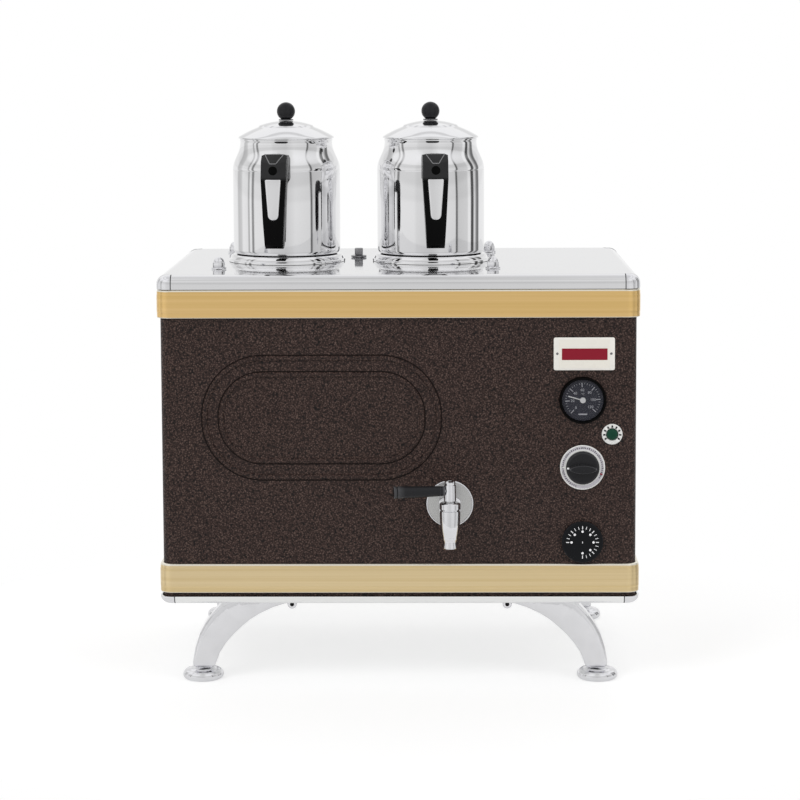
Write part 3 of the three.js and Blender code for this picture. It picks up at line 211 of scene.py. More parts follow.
# %% [markdown]
# ## Lamps and floor
#
# Large soft lamps give the matt pieces a gentle top-left light and weak shadows. They don't
# show in the metal, which mirrors the sheets. The floor is a plain pale disc. Seen straight or
# in a mirror it gives a share of its light by itself, so that it meets the white background
# and still keeps the urn's shadow.

# %% Hang the lamps
def lamp(name, place, aim, size, power):
    light = bpy.data.lights.new(name, "AREA")
    light.shape, light.size, light.energy = "DISK", size, power
    made = bpy.data.objects.new(name, light)
    bpy.context.scene.collection.objects.link(made)
    made.location, made.visible_glossy = place, False
    made.rotation_euler = (Vector(aim) - Vector(place)).to_track_quat("-Z", "Y").to_euler()
    return made


lamp("key_lamp", (-1.6, -2.0, 2.4), (0, 0, 0.3), 1.6, 26)
lamp("fill_lamp", (2.0, -1.6, 1.6), (0, 0, 0.3), 1.4, 10)
lamp("back_lamp", (0.4, 2.4, 2.2), (0, 0, 0.3), 1.6, 16)

# %% Lay the floor
floor_paint = bpy.data.materials.new("pale_floor")
floor_paint.use_nodes = True
tree = floor_paint.node_tree
floor_shader = tree.nodes["Principled BSDF"]
floor_shader.inputs["Base Color"].default_value = (0.92, 0.92, 0.92, 1)
floor_shader.inputs["Roughness"].default_value = 0.9
floor_shader.inputs["Specular IOR Level"].default_value = 0.1
floor_shader.inputs["Emission Color"].default_value = (1, 1, 1, 1)
rays = add(tree, "ShaderNodeLightPath")
straight_share, mirrored_share = 0.58, 0.36
own_light = add(tree, "ShaderNodeMath", {1: straight_share}, operation="MULTIPLY")
link(tree, rays, "Is Camera Ray", own_light, 0)
mirrored = add(tree, "ShaderNodeMath", {1: mirrored_share}, operation="MULTIPLY_ADD")
link(tree, rays, "Is Glossy Ray", mirrored, 0)
link(tree, own_light, 0, mirrored, 2)
link(tree, mirrored, 0, floor_shader, "Emission Strength")
either = add(tree, "ShaderNodeMath", operation="MAXIMUM")
link(tree, rays, "Is Camera Ray", either, 0)
link(tree, rays, "Is Glossy Ray", either, 1)
shown = add(tree, "ShaderNodeMix", {6: (0.92, 0.92, 0.92, 1), 7: (0.52, 0.52, 0.52, 1)}, data_type="RGBA")
link(tree, either, 0, shown, 0)
link(tree, shown, 2, floor_shader, "Base Color")
bm = bmesh.new()
bmesh.ops.create_circle(bm, cap_ends=True, segments=128, radius=0.6)
floor_mesh = bpy.data.meshes.new("floor")
bm.to_mesh(floor_mesh)
bm.free()
floor_mesh.materials.append(floor_paint)
floor = bpy.data.objects.new("floor", floor_mesh)
bpy.context.scene.collection.objects.link(floor)
print("floor laid at z = 0")

# %% [markdown]
# ## Shared effects
#
# Real finishes differ less in colour than in their small unevenness: the enamel is grained,
# the trim is brushed along its length, polished steel has faint smears. Each effect is one
# node group with named inputs, built once and placed in every material that needs it with
# its own values. All patterns read Object coordinates, so they stay on the piece.

# %% A helper for shader groups
def effect(name, inputs, outputs):
    tree = bpy.data.node_groups.new(name, "ShaderNodeTree")
    for socket, value in inputs.items():
        kind = "NodeSocketVector" if isinstance(value, tuple) else "NodeSocketFloat"
        made = tree.interface.new_socket(socket, in_out="INPUT", socket_type=kind)
        made.default_value = value
    for socket in outputs:
        tree.interface.new_socket(socket, in_out="OUTPUT", socket_type="NodeSocketFloat")
    return tree, add(tree, "NodeGroupInput"), add(tree, "NodeGroupOutput")


# %% Hammered grain: rounded cells of one to two millimetres, broken up by noise
tree, given, result = effect("hammered_grain", {"Cells per Metre": 620.0, "Wander": 0.5}, ["Height", "Crest"])
place = add(tree, "ShaderNodeTexCoord")
wander = add(tree, "ShaderNodeTexNoise", {"Detail": 2.0})
link(tree, place, "Object", wander, "Vector")
link(tree, given, "Cells per Metre", wander, "Scale")
shift = add(tree, "ShaderNodeVectorMath", {1: (0.5, 0.5, 0.5)}, operation="SUBTRACT")
link(tree, wander, "Color", shift, 0)
amount = add(tree, "ShaderNodeMath", operation="DIVIDE")
link(tree, given, "Wander", amount, 0)
link(tree, given, "Cells per Metre", amount, 1)
reach = add(tree, "ShaderNodeVectorMath", operation="SCALE")
link(tree, shift, 0, reach, 0)
link(tree, amount, 0, reach, "Scale")
moved = add(tree, "ShaderNodeVectorMath", operation="ADD")
link(tree, place, "Object", moved, 0)
link(tree, reach, 0, moved, 1)
cells = add(tree, "ShaderNodeTexVoronoi", feature="SMOOTH_F1")
link(tree, moved, 0, cells, "Vector")
link(tree, given, "Cells per Metre", cells, "Scale")
height = add(tree, "ShaderNodeMapRange", {1: 0.1, 2: 0.75, 3: 1.0, 4: 0.0})
link(tree, cells, "Distance", height, 0)
link(tree, height, 0, result, "Height")
crest = add(tree, "ShaderNodeMapRange", {1: 0.62, 2: 0.95})
link(tree, height, 0, crest, 0)
link(tree, crest, 0, result, "Crest")

# %% Brushed lines: noise drawn out by a stretch along each axis
tree, given, result = effect("brushed_lines", {"Stretch": (8.0, 8.0, 900.0)}, ["Lines"])
place = add(tree, "ShaderNodeTexCoord")
drawn = add(tree, "ShaderNodeVectorMath", operation="MULTIPLY")
link(tree, place, "Object", drawn, 0)
link(tree, given, "Stretch", drawn, 1)
lines = add(tree, "ShaderNodeTexNoise", {"Scale": 1.0, "Detail": 3.0, "Roughness": 0.6})
link(tree, drawn, 0, lines, "Vector")
contrast = add(tree, "ShaderNodeMapRange", {1: 0.3, 2: 0.7})
link(tree, lines, 0, contrast, 0)
link(tree, contrast, 0, result, "Lines")

# %% Smears: soft cloudy patches between two values, for handled and wiped surfaces
tree, given, result = effect("smears", {"Patches per Metre": 22.0, "Low": 0.05, "High": 0.12}, ["Value", "Mask"])
place = add(tree, "ShaderNodeTexCoord")
cloud = add(tree, "ShaderNodeTexNoise", {"Detail": 5.0, "Roughness": 0.55, "Distortion": 0.4})
link(tree, place, "Object", cloud, "Vector")
link(tree, given, "Patches per Metre", cloud, "Scale")
mask = add(tree, "ShaderNodeMapRange", {1: 0.35, 2: 0.68})
link(tree, cloud, 0, mask, 0)
value = add(tree, "ShaderNodeMapRange")
link(tree, mask, 0, value, 0)
link(tree, given, "Low", value, 3)
link(tree, given, "High", value, 4)
link(tree, value, 0, result, "Value")
link(tree, mask, 0, result, "Mask")

# %% Edge wear and highlight: the outer edges of a piece, where hands and cloths rub and where a thin highlight is painted
tree, given, result = effect("edge_wear_and_highlight", {"Start": 0.52, "Full": 0.6}, ["Mask"])
shape = add(tree, "ShaderNodeNewGeometry")
wear_and_highlight = add(tree, "ShaderNodeMapRange")
link(tree, shape, "Pointiness", wear_and_highlight, 0)
link(tree, given, "Start", wear_and_highlight, 1)
link(tree, given, "Full", wear_and_highlight, 2)
link(tree, wear_and_highlight, 0, result, "Mask")
print("effects", [group.name for group in bpy.data.node_groups])

# %% [markdown]
# ## Finishes
#
# A finish is a Principled shader that one or more effects feed. The helpers below place an
# effect, mix two colours by its mask and feed a bump, so that each finish stays a few lines.
# Colours are linear values as they should render under the even light.

# %% Helpers for finishes
finishes = {}


def finish(name, colour, roughness, metallic=0.0, **constants):
    made = bpy.data.materials.new(name)
    made.use_nodes = True
    tree = made.node_tree
    shader = tree.nodes["Principled BSDF"]
    shader.inputs["Base Color"].default_value = (*colour, 1)
    shader.inputs["Roughness"].default_value = roughness
    shader.inputs["Metallic"].default_value = metallic
    for key, value in constants.items():
        shader.inputs[key.replace("_", " ")].default_value = value
    finishes[name] = made
    return tree, shader


def use(tree, name, **values):
    node = add(tree, "ShaderNodeGroup", node_tree=bpy.data.node_groups[name])
    for key, value in values.items():
        node.inputs[key.replace("_", " ")].default_value = value
    return node


def tint(tree, source, output, low, high, shader):
    mix = add(tree, "ShaderNodeMix", {6: (*low, 1), 7: (*high, 1)}, data_type="RGBA")
    link(tree, source, output, mix, 0)
    link(tree, mix, 2, shader, "Base Color")
    return mix


def relief(tree, source, output, depth, shader, strength=1.0):
    bump = add(tree, "ShaderNodeBump", {"Strength": strength, "Distance": depth * MM})
    link(tree, source, output, bump, "Height")
    link(tree, bump, 0, shader, "Normal")


# %% Brown hammered enamel of the cabinet, with painted shade in the hollows of the grain and painted highlights on its crests
tree, shader = finish("brown_enamel", (0.05, 0.031, 0.026), 0.42, Specular_IOR_Level=0.25)
grain = use(tree, "hammered_grain", Cells_per_Metre=620.0, Wander=1.0)
# The hollows of the grain are painted dark as painted shade, and the crest points light as painted highlights.
grain_shade = tint(tree, grain, "Height", (0.002, 0.001, 0.001), (0.061, 0.033, 0.0265), shader)
points = add(tree, "ShaderNodeMix", {7: (0.122, 0.08, 0.066, 1)}, data_type="RGBA")
link(tree, grain, "Crest", points, 0)
link(tree, grain_shade, 2, points, 6)
link(tree, points, 2, shader, "Base Color")
relief(tree, grain, "Height", 0.5, shader, 0.8)
sheen = use(tree, "smears", Patches_per_Metre=9.0, Low=0.36, High=0.52)
link(tree, sheen, "Value", shader, "Roughness")

# %% Gold trim, brushed along its length, with a painted highlight along its edges
def brushed_gold(name, low, high):
    tree, shader = finish(name, high, 0.3, 1.0)
    lines = use(tree, "brushed_lines", Stretch=(1.6, 1.6, 330.0))
    gold = tint(tree, lines, "Lines", low, high, shader)
    # The edges of the trim are painted pale: a painted highlight.
    edge = use(tree, "edge_wear_and_highlight", Start=0.518, Full=0.53)
    edge_highlight = add(tree, "ShaderNodeMix", {7: (0.97, 0.92, 0.8, 1)}, data_type="RGBA")
    link(tree, edge, "Mask", edge_highlight, 0)
    link(tree, gold, 2, edge_highlight, 6)
    link(tree, edge_highlight, 2, shader, "Base Color")
    smear = use(tree, "smears", Patches_per_Metre=5.0, Low=0.27, High=0.33)
    link(tree, smear, "Value", shader, "Roughness")


brushed_gold("gold_trim", (0.84, 0.565, 0.215), (0.93, 0.64, 0.285))
# The lower band takes a paler copy of the same gold, as painted light.
brushed_gold("lit_gold", (0.78, 0.60, 0.31), (0.875, 0.70, 0.42))

# %% Mirror metals: polished steel for sheet and teapots, chrome for castings and nuts, and a lighter steel and a darker chrome as painted light and painted shade
def mirror(name, colour, darker, low, high, patches, stretch):
    tree, shader = finish(name, colour, low, 1.0)
    smear = use(tree, "smears", Patches_per_Metre=patches, Low=low, High=high)
    link(tree, smear, "Value", shader, "Roughness")
    tint(tree, smear, "Mask", colour, darker, shader)
    lines = use(tree, "brushed_lines", Stretch=stretch)
    relief(tree, lines, "Lines", 0.004, shader, 0.3)


mirror("polished_steel", (0.87, 0.87, 0.88), (0.85, 0.85, 0.86), 0.05, 0.08, 20.0, (12.0, 12.0, 700.0))
# A lighter copy of the polished steel for the tray: painted light.
mirror("lit_tray_steel", (0.97, 0.975, 0.97), (0.95, 0.955, 0.95), 0.05, 0.08, 20.0, (12.0, 12.0, 700.0))
# A darker copy of the chrome for the filler plug and the plate rivets: painted shade.
mirror("shaded_chrome", (0.34, 0.34, 0.35), (0.2, 0.2, 0.21), 0.2, 0.34, 90.0, (60.0, 60.0, 60.0))
mirror("chrome_plate", (0.85, 0.85, 0.87), (0.81, 0.81, 0.83), 0.06, 0.13, 55.0, (60.0, 60.0, 60.0))

# %% Brushed and galvanised steel, copper
tree, shader = finish("brushed_steel", (0.6, 0.6, 0.59), 0.3, 1.0)
lines = use(tree, "brushed_lines", Stretch=(900.0, 20.0, 900.0))
tint(tree, lines, "Lines", (0.5, 0.5, 0.49), (0.68, 0.68, 0.67), shader)
relief(tree, lines, "Lines", 0.02, shader, 0.4)
tree, shader = finish("galvanised_sheet", (0.5, 0.51, 0.52), 0.45, 0.9)
spangle = use(tree, "hammered_grain", Cells_per_Metre=70.0, Wander=0.9)
tint(tree, spangle, "Height", (0.4, 0.41, 0.43), (0.58, 0.59, 0.6), shader)
smear = use(tree, "smears", Patches_per_Metre=40.0, Low=0.34, High=0.52)
link(tree, smear, "Value", shader, "Roughness")
tree, shader = finish("copper_sheath", (0.55, 0.27, 0.15), 0.4, 1.0)
smear = use(tree, "smears", Patches_per_Metre=60.0, Low=0.3, High=0.55)
tint(tree, smear, "Mask", (0.55, 0.27, 0.15), (0.3, 0.15, 0.09), shader)
link(tree, smear, "Value", shader, "Roughness")

# %% Plastics, rubber and inks
# Each moulded finish lightens its edges, partly as wear and partly as a painted highlight.
def moulded(name, colour, low, high, depth, shine=0.5, wear_and_highlight=None, coat=0.0):
    tree, shader = finish(name, colour, low, Specular_IOR_Level=shine, Coat_Weight=coat, Coat_Roughness=0.08)
    smear = use(tree, "smears", Patches_per_Metre=70.0, Low=low, High=high)
    link(tree, smear, "Value", shader, "Roughness")
    skin = use(tree, "hammered_grain", Cells_per_Metre=900.0, Wander=0.6)
    relief(tree, skin, "Height", depth, shader, 0.4)
    edge = use(tree, "edge_wear_and_highlight", Start=0.52, Full=0.545)
    tint(tree, edge, "Mask", colour, wear_and_highlight or [min(1, part * 1.12) for part in colour], shader)


moulded("black_bakelite", (0.013, 0.013, 0.015), 0.24, 0.36, 0.02, 0.24, (0.1, 0.1, 0.105))
moulded("switch_black", (0.003, 0.0035, 0.005), 0.25, 0.34, 0.01, 0.18, (0.03, 0.03, 0.035))
# Near-black: the gauge bezel's own colour, and painted shade for the screw deep in each handle hole.
moulded("deep_black", (0.001, 0.001, 0.001), 0.2, 0.3, 0.01, 0.06)
# A mid grey for thin rods that are painted highlights along the handle's edges.
moulded("highlight_grey", (0.2, 0.2, 0.205), 0.3, 0.4, 0.01, 0.3)
moulded("dial_face", (0.03, 0.03, 0.044), 0.4, 0.5, 0.01, 0.3)
moulded("white_plastic", (0.80, 0.80, 0.78), 0.32, 0.45, 0.02, 0.3)
moulded("silver_print", (0.56, 0.54, 0.58), 0.28, 0.4, 0.01)
moulded("plate_metal", (0.84, 0.82, 0.77), 0.25, 0.36, 0.01, 0.3)
moulded("plate_field", (0.79, 0.76, 0.69), 0.25, 0.36, 0.01, 0.3)
moulded("dark_red_ink", (0.24, 0.008, 0.022), 0.3, 0.4, 0.01, 0.2)
moulded("white_ink", (0.86, 0.86, 0.87), 0.4, 0.5, 0.01, 0.3)
moulded("grey_ink", (0.56, 0.56, 0.6), 0.4, 0.5, 0.01, 0.3)
moulded("black_ink", (0.02, 0.02, 0.022), 0.4, 0.5, 0.01, 0.2)
# Near-black enamel for the strips beside the beads: painted shade in the crease.
moulded("shade_enamel", (0.006, 0.0035, 0.003), 0.45, 0.6, 0.02, 0.12)
moulded("black_rubber", (0.008, 0.008, 0.008), 0.6, 0.75, 0.04, 0.3)
moulded("green_lens", (0.002, 0.022, 0.011), 0.06, 0.12, 0.005, 0.14, (0.006, 0.055, 0.03))

# %% Handle: a polished black grip under a head painted dark grey, as painted light on its sloped faces
tree, shader = finish("handle_black", (0.001, 0.001, 0.001), 0.25, Specular_IOR_Level=0.08)
place = add(tree, "ShaderNodeTexCoord")
parts = add(tree, "ShaderNodeSeparateXYZ")
link(tree, place, "Object", parts, 0)
head_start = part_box("pot_body_left")[0].z + (24 + 84) * MM
lit_head_share = add(tree, "ShaderNodeMapRange", {1: head_start, 2: head_start + 4 * MM})
link(tree, parts, "Z", lit_head_share, 0)
# The head above the grip is painted lighter: painted light on its sloped faces.
tint(tree, lit_head_share, 0, (0.001, 0.001, 0.001), (0.03, 0.03, 0.031), shader)
smear = use(tree, "smears", Patches_per_Metre=70.0, Low=0.2, High=0.3)
link(tree, smear, "Value", shader, "Roughness")
skin = use(tree, "hammered_grain", Cells_per_Metre=900.0, Wander=0.6)
relief(tree, skin, "Height", 0.01, shader, 0.4)

# %% Thin clear glass over the thermometer
tree, shader = finish("dial_glass", (0.05, 0.055, 0.065), 0.03)
rim_light = add(tree, "ShaderNodeLayerWeight", {"Blend": 0.25})
haze = add(tree, "ShaderNodeMapRange", {3: 0.1, 4: 0.4})
link(tree, rim_light, "Fresnel", haze, 0)
link(tree, haze, 0, shader, "Alpha")
smear = use(tree, "smears", Patches_per_Metre=80.0, Low=0.02, High=0.08)
link(tree, smear, "Value", shader, "Roughness")
print("finishes", sorted(finishes))

# %% Give every solid its finish
for part in frame["record"]["subparts"]:
    node = frame["nodes"][part["node"]]
    node.data.materials.clear()
    node.data.materials.append(finishes[part["material_slot"]])

# %% [markdown]
# ## Shaping tools
#
# Almost everything on the urn is made in one of three ways: turned on a lathe, bent or drawn
# along a path, or cut from a block with rounded edges. The helpers below wrap the bmesh
# operators for these. A profile is drawn as a chain of edges, and spin or extrude carries it.

# %% Profiles and turning
FRONT = Matrix.Rotation(math.radians(90), 4, "X")
BACK = Matrix.Rotation(math.radians(-90), 4, "X")
LEFT = Matrix.Rotation(math.radians(-90), 4, "Y")


def arc(centre, radius, start, end, steps=10):
    turns = [math.radians(start + (end - start) * index / steps) for index in range(steps + 1)]
    return [(centre[0] + radius * math.cos(turn), centre[1] + radius * math.sin(turn)) for turn in turns]


def bend(start, corner, end, steps=6):
    first, last = (Vector(point).lerp(Vector(corner), 0.5523) for point in (start, end))
    return [tuple(point) for point in interpolate_bezier(start, first, last, end, steps + 1)]


def chain(bm, points, closed=False):
    verts = [bm.verts.new(point) for point in points]
    pairs = list(zip(verts, verts[1:] + verts[:1]))
    return [bm.edges.new(pair) for pair in (pairs if closed else pairs[:-1])]


def tidy(bm, distance=0.002):
    bmesh.ops.remove_doubles(bm, verts=bm.verts, dist=distance)
    bmesh.ops.recalc_face_normals(bm, faces=bm.faces)
    return bm


def turned(profile, closed=False, steps=72):
    bm = bmesh.new()
    chain(bm, [(radius, 0, height) for radius, height in profile], closed)
    full = 2 * math.pi
    bmesh.ops.spin(bm, geom=bm.verts[:] + bm.edges[:], axis=(0, 0, 1), angle=full, steps=steps, use_merge=True)
    return tidy(bm)


# %% Rounding, blocks and joining
def soften(bm, width, segments=3, above=35):
    sharp = [edge for edge in bm.edges if edge.is_manifold and edge.calc_face_angle() > math.radians(above)]
    bmesh.ops.bevel(bm, geom=sharp, offset=width, offset_type="OFFSET", segments=segments,
                    profile=0.5, affect="EDGES", material=-1, clamp_overlap=True)
    return bm


def block(width, depth, height, place=Matrix.Identity(4)):
    bm = bmesh.new()
    size = Matrix.Diagonal((width, depth, height, 1))
    bmesh.ops.create_cube(bm, size=1, matrix=place @ Matrix.Translation((0, 0, height / 2)) @ size)
    return bm


def prism(sides, radius, height, place=Matrix.Identity(4)):
    bm = bmesh.new()
    upright = Matrix.Translation((0, 0, height / 2))
    bmesh.ops.create_cone(bm, cap_ends=True, segments=sides, radius1=radius, radius2=radius,
                          depth=height, matrix=place @ upright)
    return bm


def gather(*meshes):
    whole = meshes[0]
    for other in meshes[1:]:
        shared = bpy.data.meshes.new("shared")
        other.to_mesh(shared)
        other.free()
        whole.from_mesh(shared)
        bpy.data.meshes.remove(shared)
    return whole


def put(bm, place):
    bmesh.ops.transform(bm, matrix=place, verts=bm.verts)
    return bm


# %% Drawing a profile along runs and bends, and a face through a row of placings
def follow(profile, start, moves, closed=False, steps=10):
    bm = bmesh.new()
    edges = chain(bm, [(start[0] + out, start[1], height) for out, height in profile], closed)
    for move in moves:
        verts = list({vert for edge in edges for vert in edge.verts})
        if isinstance(move[0], tuple):
            made = bmesh.ops.spin(bm, geom=verts + edges, cent=(*move[0], 0), axis=(0, 0, 1),
                                  angle=math.radians(move[1]), steps=steps)["geom_last"]
        else:
            made = bmesh.ops.extrude_edge_only(bm, edges=edges)["geom"]
            fresh = [part for part in made if isinstance(part, bmesh.types.BMVert)]
            bmesh.ops.translate(bm, verts=fresh, vec=(*move, 0))
        fresh = {part for part in made if isinstance(part, bmesh.types.BMVert)}
        edges = [part for part in made if isinstance(part, bmesh.types.BMEdge) and set(part.verts) <= fresh]
    return tidy(bm)


def ring_moves(half_x, half_y, radius):
    x, y = half_x - radius, half_y - radius
    return [(0, 2 * y), ((x, y), 90), (-2 * x, 0), ((-x, y), 90),
            (0, -2 * y), ((-x, -y), 90), (2 * x, 0), ((x, -y), 90)]


def drawn(bm, stations):
    face = bm.faces[:][0]
    bmesh.ops.transform(bm, matrix=stations[0], verts=face.verts)
    for before, after in zip(stations, stations[1:]):
        made = bmesh.ops.extrude_face_region(bm, geom=[face])["geom"]
        fresh = {part for part in made if isinstance(part, bmesh.types.BMVert)}
        face = next(part for part in made if isinstance(part, bmesh.types.BMFace) and set(part.verts) <= fresh)
        bmesh.ops.transform(bm, matrix=after @ before.inverted(), verts=face.verts)
    return tidy(bm)


def show(name, bm, look, stands_for=(), body="cabinet", place=Matrix.Identity(4), smooth=34):
    put(bm, Matrix.Scale(MM, 4) @ place)
    mesh = bpy.data.meshes.new(name)
    bm.to_mesh(mesh)
    bm.free()
    mesh.polygons.foreach_set("use_smooth", [True] * len(mesh.polygons))
    mesh.set_sharp_from_angle(angle=math.radians(smooth))
    mesh.materials.append(finishes[look])
    piece = bpy.data.objects.new(name, mesh)
    bpy.context.scene.collection.objects.link(piece)
    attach(piece, body)
    if stands_for:
        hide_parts(*stands_for)
    print(name, len(mesh.polygons), "faces")
    return piece


def settle(piece, smooth):
    view = bpy.context.evaluated_depsgraph_get()
    view.update()
    done = bpy.data.meshes.new_from_object(piece.evaluated_get(view))
    piece.modifiers.clear()
    piece.data = done
    piece.data.set_sharp_from_angle(angle=math.radians(smooth))
    return piece


def thicken(piece, sheet, smooth=34):
    wall = piece.modifiers.new("sheet", "SOLIDIFY")
    wall.thickness, wall.offset, wall.use_even_offset = sheet * MM, -1, True
    return settle(piece, smooth)


def carve(piece, tool, smooth=34):
    put(tool, Matrix.Scale(MM, 4))
    mesh = bpy.data.meshes.new("tool")
    tool.to_mesh(mesh)
    tool.free()
    cutter = bpy.data.objects.new("tool", mesh)
    bpy.context.scene.collection.objects.link(cutter)
    cut = piece.modifiers.new("cut", "BOOLEAN")
    cut.operation, cut.object, cut.solver = "DIFFERENCE", cutter, "EXACT"
    settle(piece, smooth)
    bpy.data.objects.remove(cutter)
    return piece


def at(x, y, z, turn=Matrix.Identity(4)):
    return Matrix.Translation((x, y, z)) @ turn


# %% [markdown]
# ## Cabinet
#
# One enamelled sheet is bent round the front and both sides, with short returns at the back.
# A sheet is a surface with a thickness, so an upright line is drawn along the runs and bends
# and a Solidify modifier gives it the gauge. The holes for the instruments are then cut with
# a Boolean, as a punch does.

# %% Bend the enamelled wrap
shell_x, shell_y, shell_bend, sheet_gauge = shell_high.x, half_depth - 3.7, 10.3, 1.2
turn_x, turn_y, rear_return = shell_x - shell_bend, shell_y - shell_bend, 16
wrap_moves = [
    (-rear_return, 0), ((-turn_x, turn_y), 90), (0, -2 * turn_y), ((-turn_x, -turn_y), 90),
    (2 * turn_x, 0), ((turn_x, -turn_y), 90), (0, 2 * turn_y), ((turn_x, turn_y), 90), (-rear_return, 0),
]
wrap = follow([(0, shell_low.z), (0, shell_high.z)], (rear_return - turn_x, shell_y), wrap_moves)
shell = show("enamel_wrap", wrap, "brown_enamel", ["cabinet_shell"], place=at(0, centre_y, 0))
thicken(shell, sheet_gauge)

# %% Punch the holes for tap and instruments
dial_x = middle("thermometer_glass").x
gauge_z, knob_z, switch_z = (middle(node).z for node in ("thermometer_glass", "thermostat_knob", "switch_dial"))
lens_place, tap_place = middle("lamp_lens"), middle("tap_flange")
hole_sizes = [(dial_x, gauge_z, 22.3), (lens_place.x, lens_place.z, 7.9), (dial_x, knob_z, 5.3),
              (dial_x, switch_z, 5.3), (tap_place.x, tap_place.z, 9.3)]
for x, z, radius in hole_sizes:
    carve(shell, prism(48, radius, 12, at(x, panel_y + 6, z, FRONT)))
print("holes", len(hole_sizes))

# %% [markdown]
# ## A pressed bead on the front
#
# Large flat sheets are often stiffened by a pressed bead. Here two plain rounded beads lie one
# inside the other, drawn as a low arched profile round a rounded rectangle. A thin dark strip
# follows each bead: painted shade in the crease beside it.

# %% Press the beads
bead_width, bead_rise, crease_width = 2.9, 2.0, 1.5
bead_profile = (bend((bead_width, -0.3), (2.6, bead_rise), (0, bead_rise))
                + bend((0, bead_rise), (-2.6, bead_rise), (-bead_width, -0.3))[1:])
crease_start = bead_width - 0.5
crease_profile = [(crease_start, 0.02), (crease_start + crease_width, 0.02),
                  (crease_start + crease_width, 0.14), (crease_start, 0.14)]
for name, half_x, half_y in (("outer_bead", 121, 62), ("inner_bead", 104, 45)):
    radius = half_y - 2
    bead = follow(bead_profile, (half_x, radius - half_y), ring_moves(half_x, half_y, radius), True, 16)
    show(name, bead, "brown_enamel", place=at(-79.6, panel_y, 283, FRONT), smooth=60)
    # A thin dark strip beside the bead: painted shade in the crease.
    crease_shade = follow(crease_profile, (half_x, radius - half_y), ring_moves(half_x, half_y, radius), True, 16)
    show(f"{name}_crease", crease_shade, "shade_enamel", place=at(-79.6, panel_y, 283, FRONT))

# %% [markdown]
# ## Trim bands
#
# Two gold bands cover the upper and lower edge of the wrap. Each is a strip with a lip and a
# raised middle, so the profile is drawn once, as a closed outline, and carried round the
# cabinet. A narrow bevel on every edge of the profile gives the thin bright lines, which the
# gold finish paints on as a highlight.

# %% Run the bands round the cabinet
def band_profile(height):
    back, lip, top_edge, low_edge, step = -3.4, -0.25, 2.2, 0.8, 5.2
    halfway = (lip / 2, step + 0.6)

    def half(edge):
        rise = bend((lip, step), (lip, step + 0.4), halfway, 4) + bend(halfway, (0, step + 0.8), (0, step + 1.2), 4)[1:]
        return (bend((lip - edge, 0), (lip, 0), (lip, edge), 4) + [(lip, edge + 0.3), (lip, step - 0.3)]
                + rise + [(0, step + 1.6)])

    upper = [(out, height - rise) for out, rise in reversed(half(top_edge))]
    return [(back, 0)] + half(low_edge) + upper + [(back, height)]


for side, look in (("upper", "gold_trim"), ("lower", "lit_gold")):
    low, high = corners_of(f"{side}_trim_band")
    moves = ring_moves(half_width, half_depth, corner_radius)
    start = (half_width, corner_radius - half_depth)
    band = follow(band_profile(high.z - low.z), start, moves, True, 12)
    show(f"{side}_gold_band", band, look, [f"{side}_trim_band"], place=at(0, centre_y, low.z))

# %% [markdown]
# ## Top cover and base tray
#
# Both are shallow pans of polished steel with a rounded edge. The edge profile is carried
# round, the flat is filled up to the holes for the teapot collars, and Solidify gives the
# sheet. Small chromed caps hide the corners, where the bent sheets meet. A thin black strip
# beside each cap is painted shadow in the seam.

# %% Draw a pan: edge profile, then the flat with its holes
def pan(height, edge, inset, holes=()):
    outline_x, outline_y, radius = half_width - inset, half_depth - inset, corner_radius - inset
    profile = [(0, 0)] + bend((0, height - edge), (0, height), (-edge, height), 8) + [(-edge - 2, height)]
    start = (outline_x, radius - outline_y)
    bm = follow(profile, start, ring_moves(outline_x, outline_y, radius), False, 12)
    rim = [edge for edge in bm.edges if edge.is_boundary and edge.verts[0].co.z > height / 2]
    for x, y, hole in holes:
        made = bmesh.ops.create_circle(bm, segments=96, radius=hole, matrix=at(x, y, height))
        rim += list({edge for vert in made["verts"] for edge in vert.link_edges})
    bmesh.ops.triangle_fill(bm, edges=rim, use_beauty=True, normal=(0, 0, 1))
    return tidy(bm)


pot_places = {side: middle(f"pot_collar_{side}") for side in ("left", "right")}
cover_low, cover_high = corners_of("top_cover")
cover_height, cap_step, sheet = cover_high.z - cover_low.z, 0.25, 1.5
collar_holes = [(place.x, place.y - centre_y, 61) for place in pot_places.values()]
cover = pan(cover_height, 10, cap_step, collar_holes)
thicken(show("polished_cover", cover, "polished_steel", ["top_cover"], place=at(0, centre_y, cover_low.z)), sheet)

# %% Turn the pan over for the base tray
tray_low, tray_high = corners_of("base_tray")
tray_height = tray_high.z - tray_low.z
# The tray takes the lighter copy of the polished steel, as painted light.
tray = put(pan(tray_height, 8, cap_step), Matrix.Rotation(math.pi, 4, "X"))
thicken(show("polished_tray", tray, "lit_tray_steel", ["base_tray"], place=at(0, centre_y, tray_high.z)), sheet)

# %% Cap the corners, above and below
def corner_cap(height, edge, straight):
    radius = corner_radius
    profile = [(0, 0)] + bend((0, height - edge), (0, height), (-edge, height), 8) + [(0.02 - radius, height)]
    moves = [(0, straight), ((half_width - radius, half_depth - radius), 90), (-straight, 0)]
    return follow(profile, (half_width, half_depth - radius - straight), moves, False, 12)


# A thin black strip at each end of a cap: painted shadow in the seam where the cap meets the sheet.
def corner_shadow_strip(height, edge, straight=1.4, width=0.9, proud=0.12):
    x, y, radius = half_width - cap_step + proud, half_depth - cap_step + proud, corner_radius
    rise = height - (cap_step - proud if edge == 10 else 0)
    inner = [(-0.6, 0), (-0.6, rise - edge)] + bend((-0.6, rise - edge), (-0.6, rise - 0.6), (-edge, rise - 0.6), 8)
    outer = [(0, 0)] + bend((0, rise - edge), (0, rise), (-edge, rise), 8)
    profile = outer + inner[::-1]
    side = follow(profile, (x, half_depth - radius - straight - width), [(0, width)], True)
    front = follow(profile, (0, 0), [(0, width)], True)
    put(front, at(half_width - radius - straight, y, 0, Matrix.Rotation(math.radians(90), 4, "Z")))
    return gather(side, front)


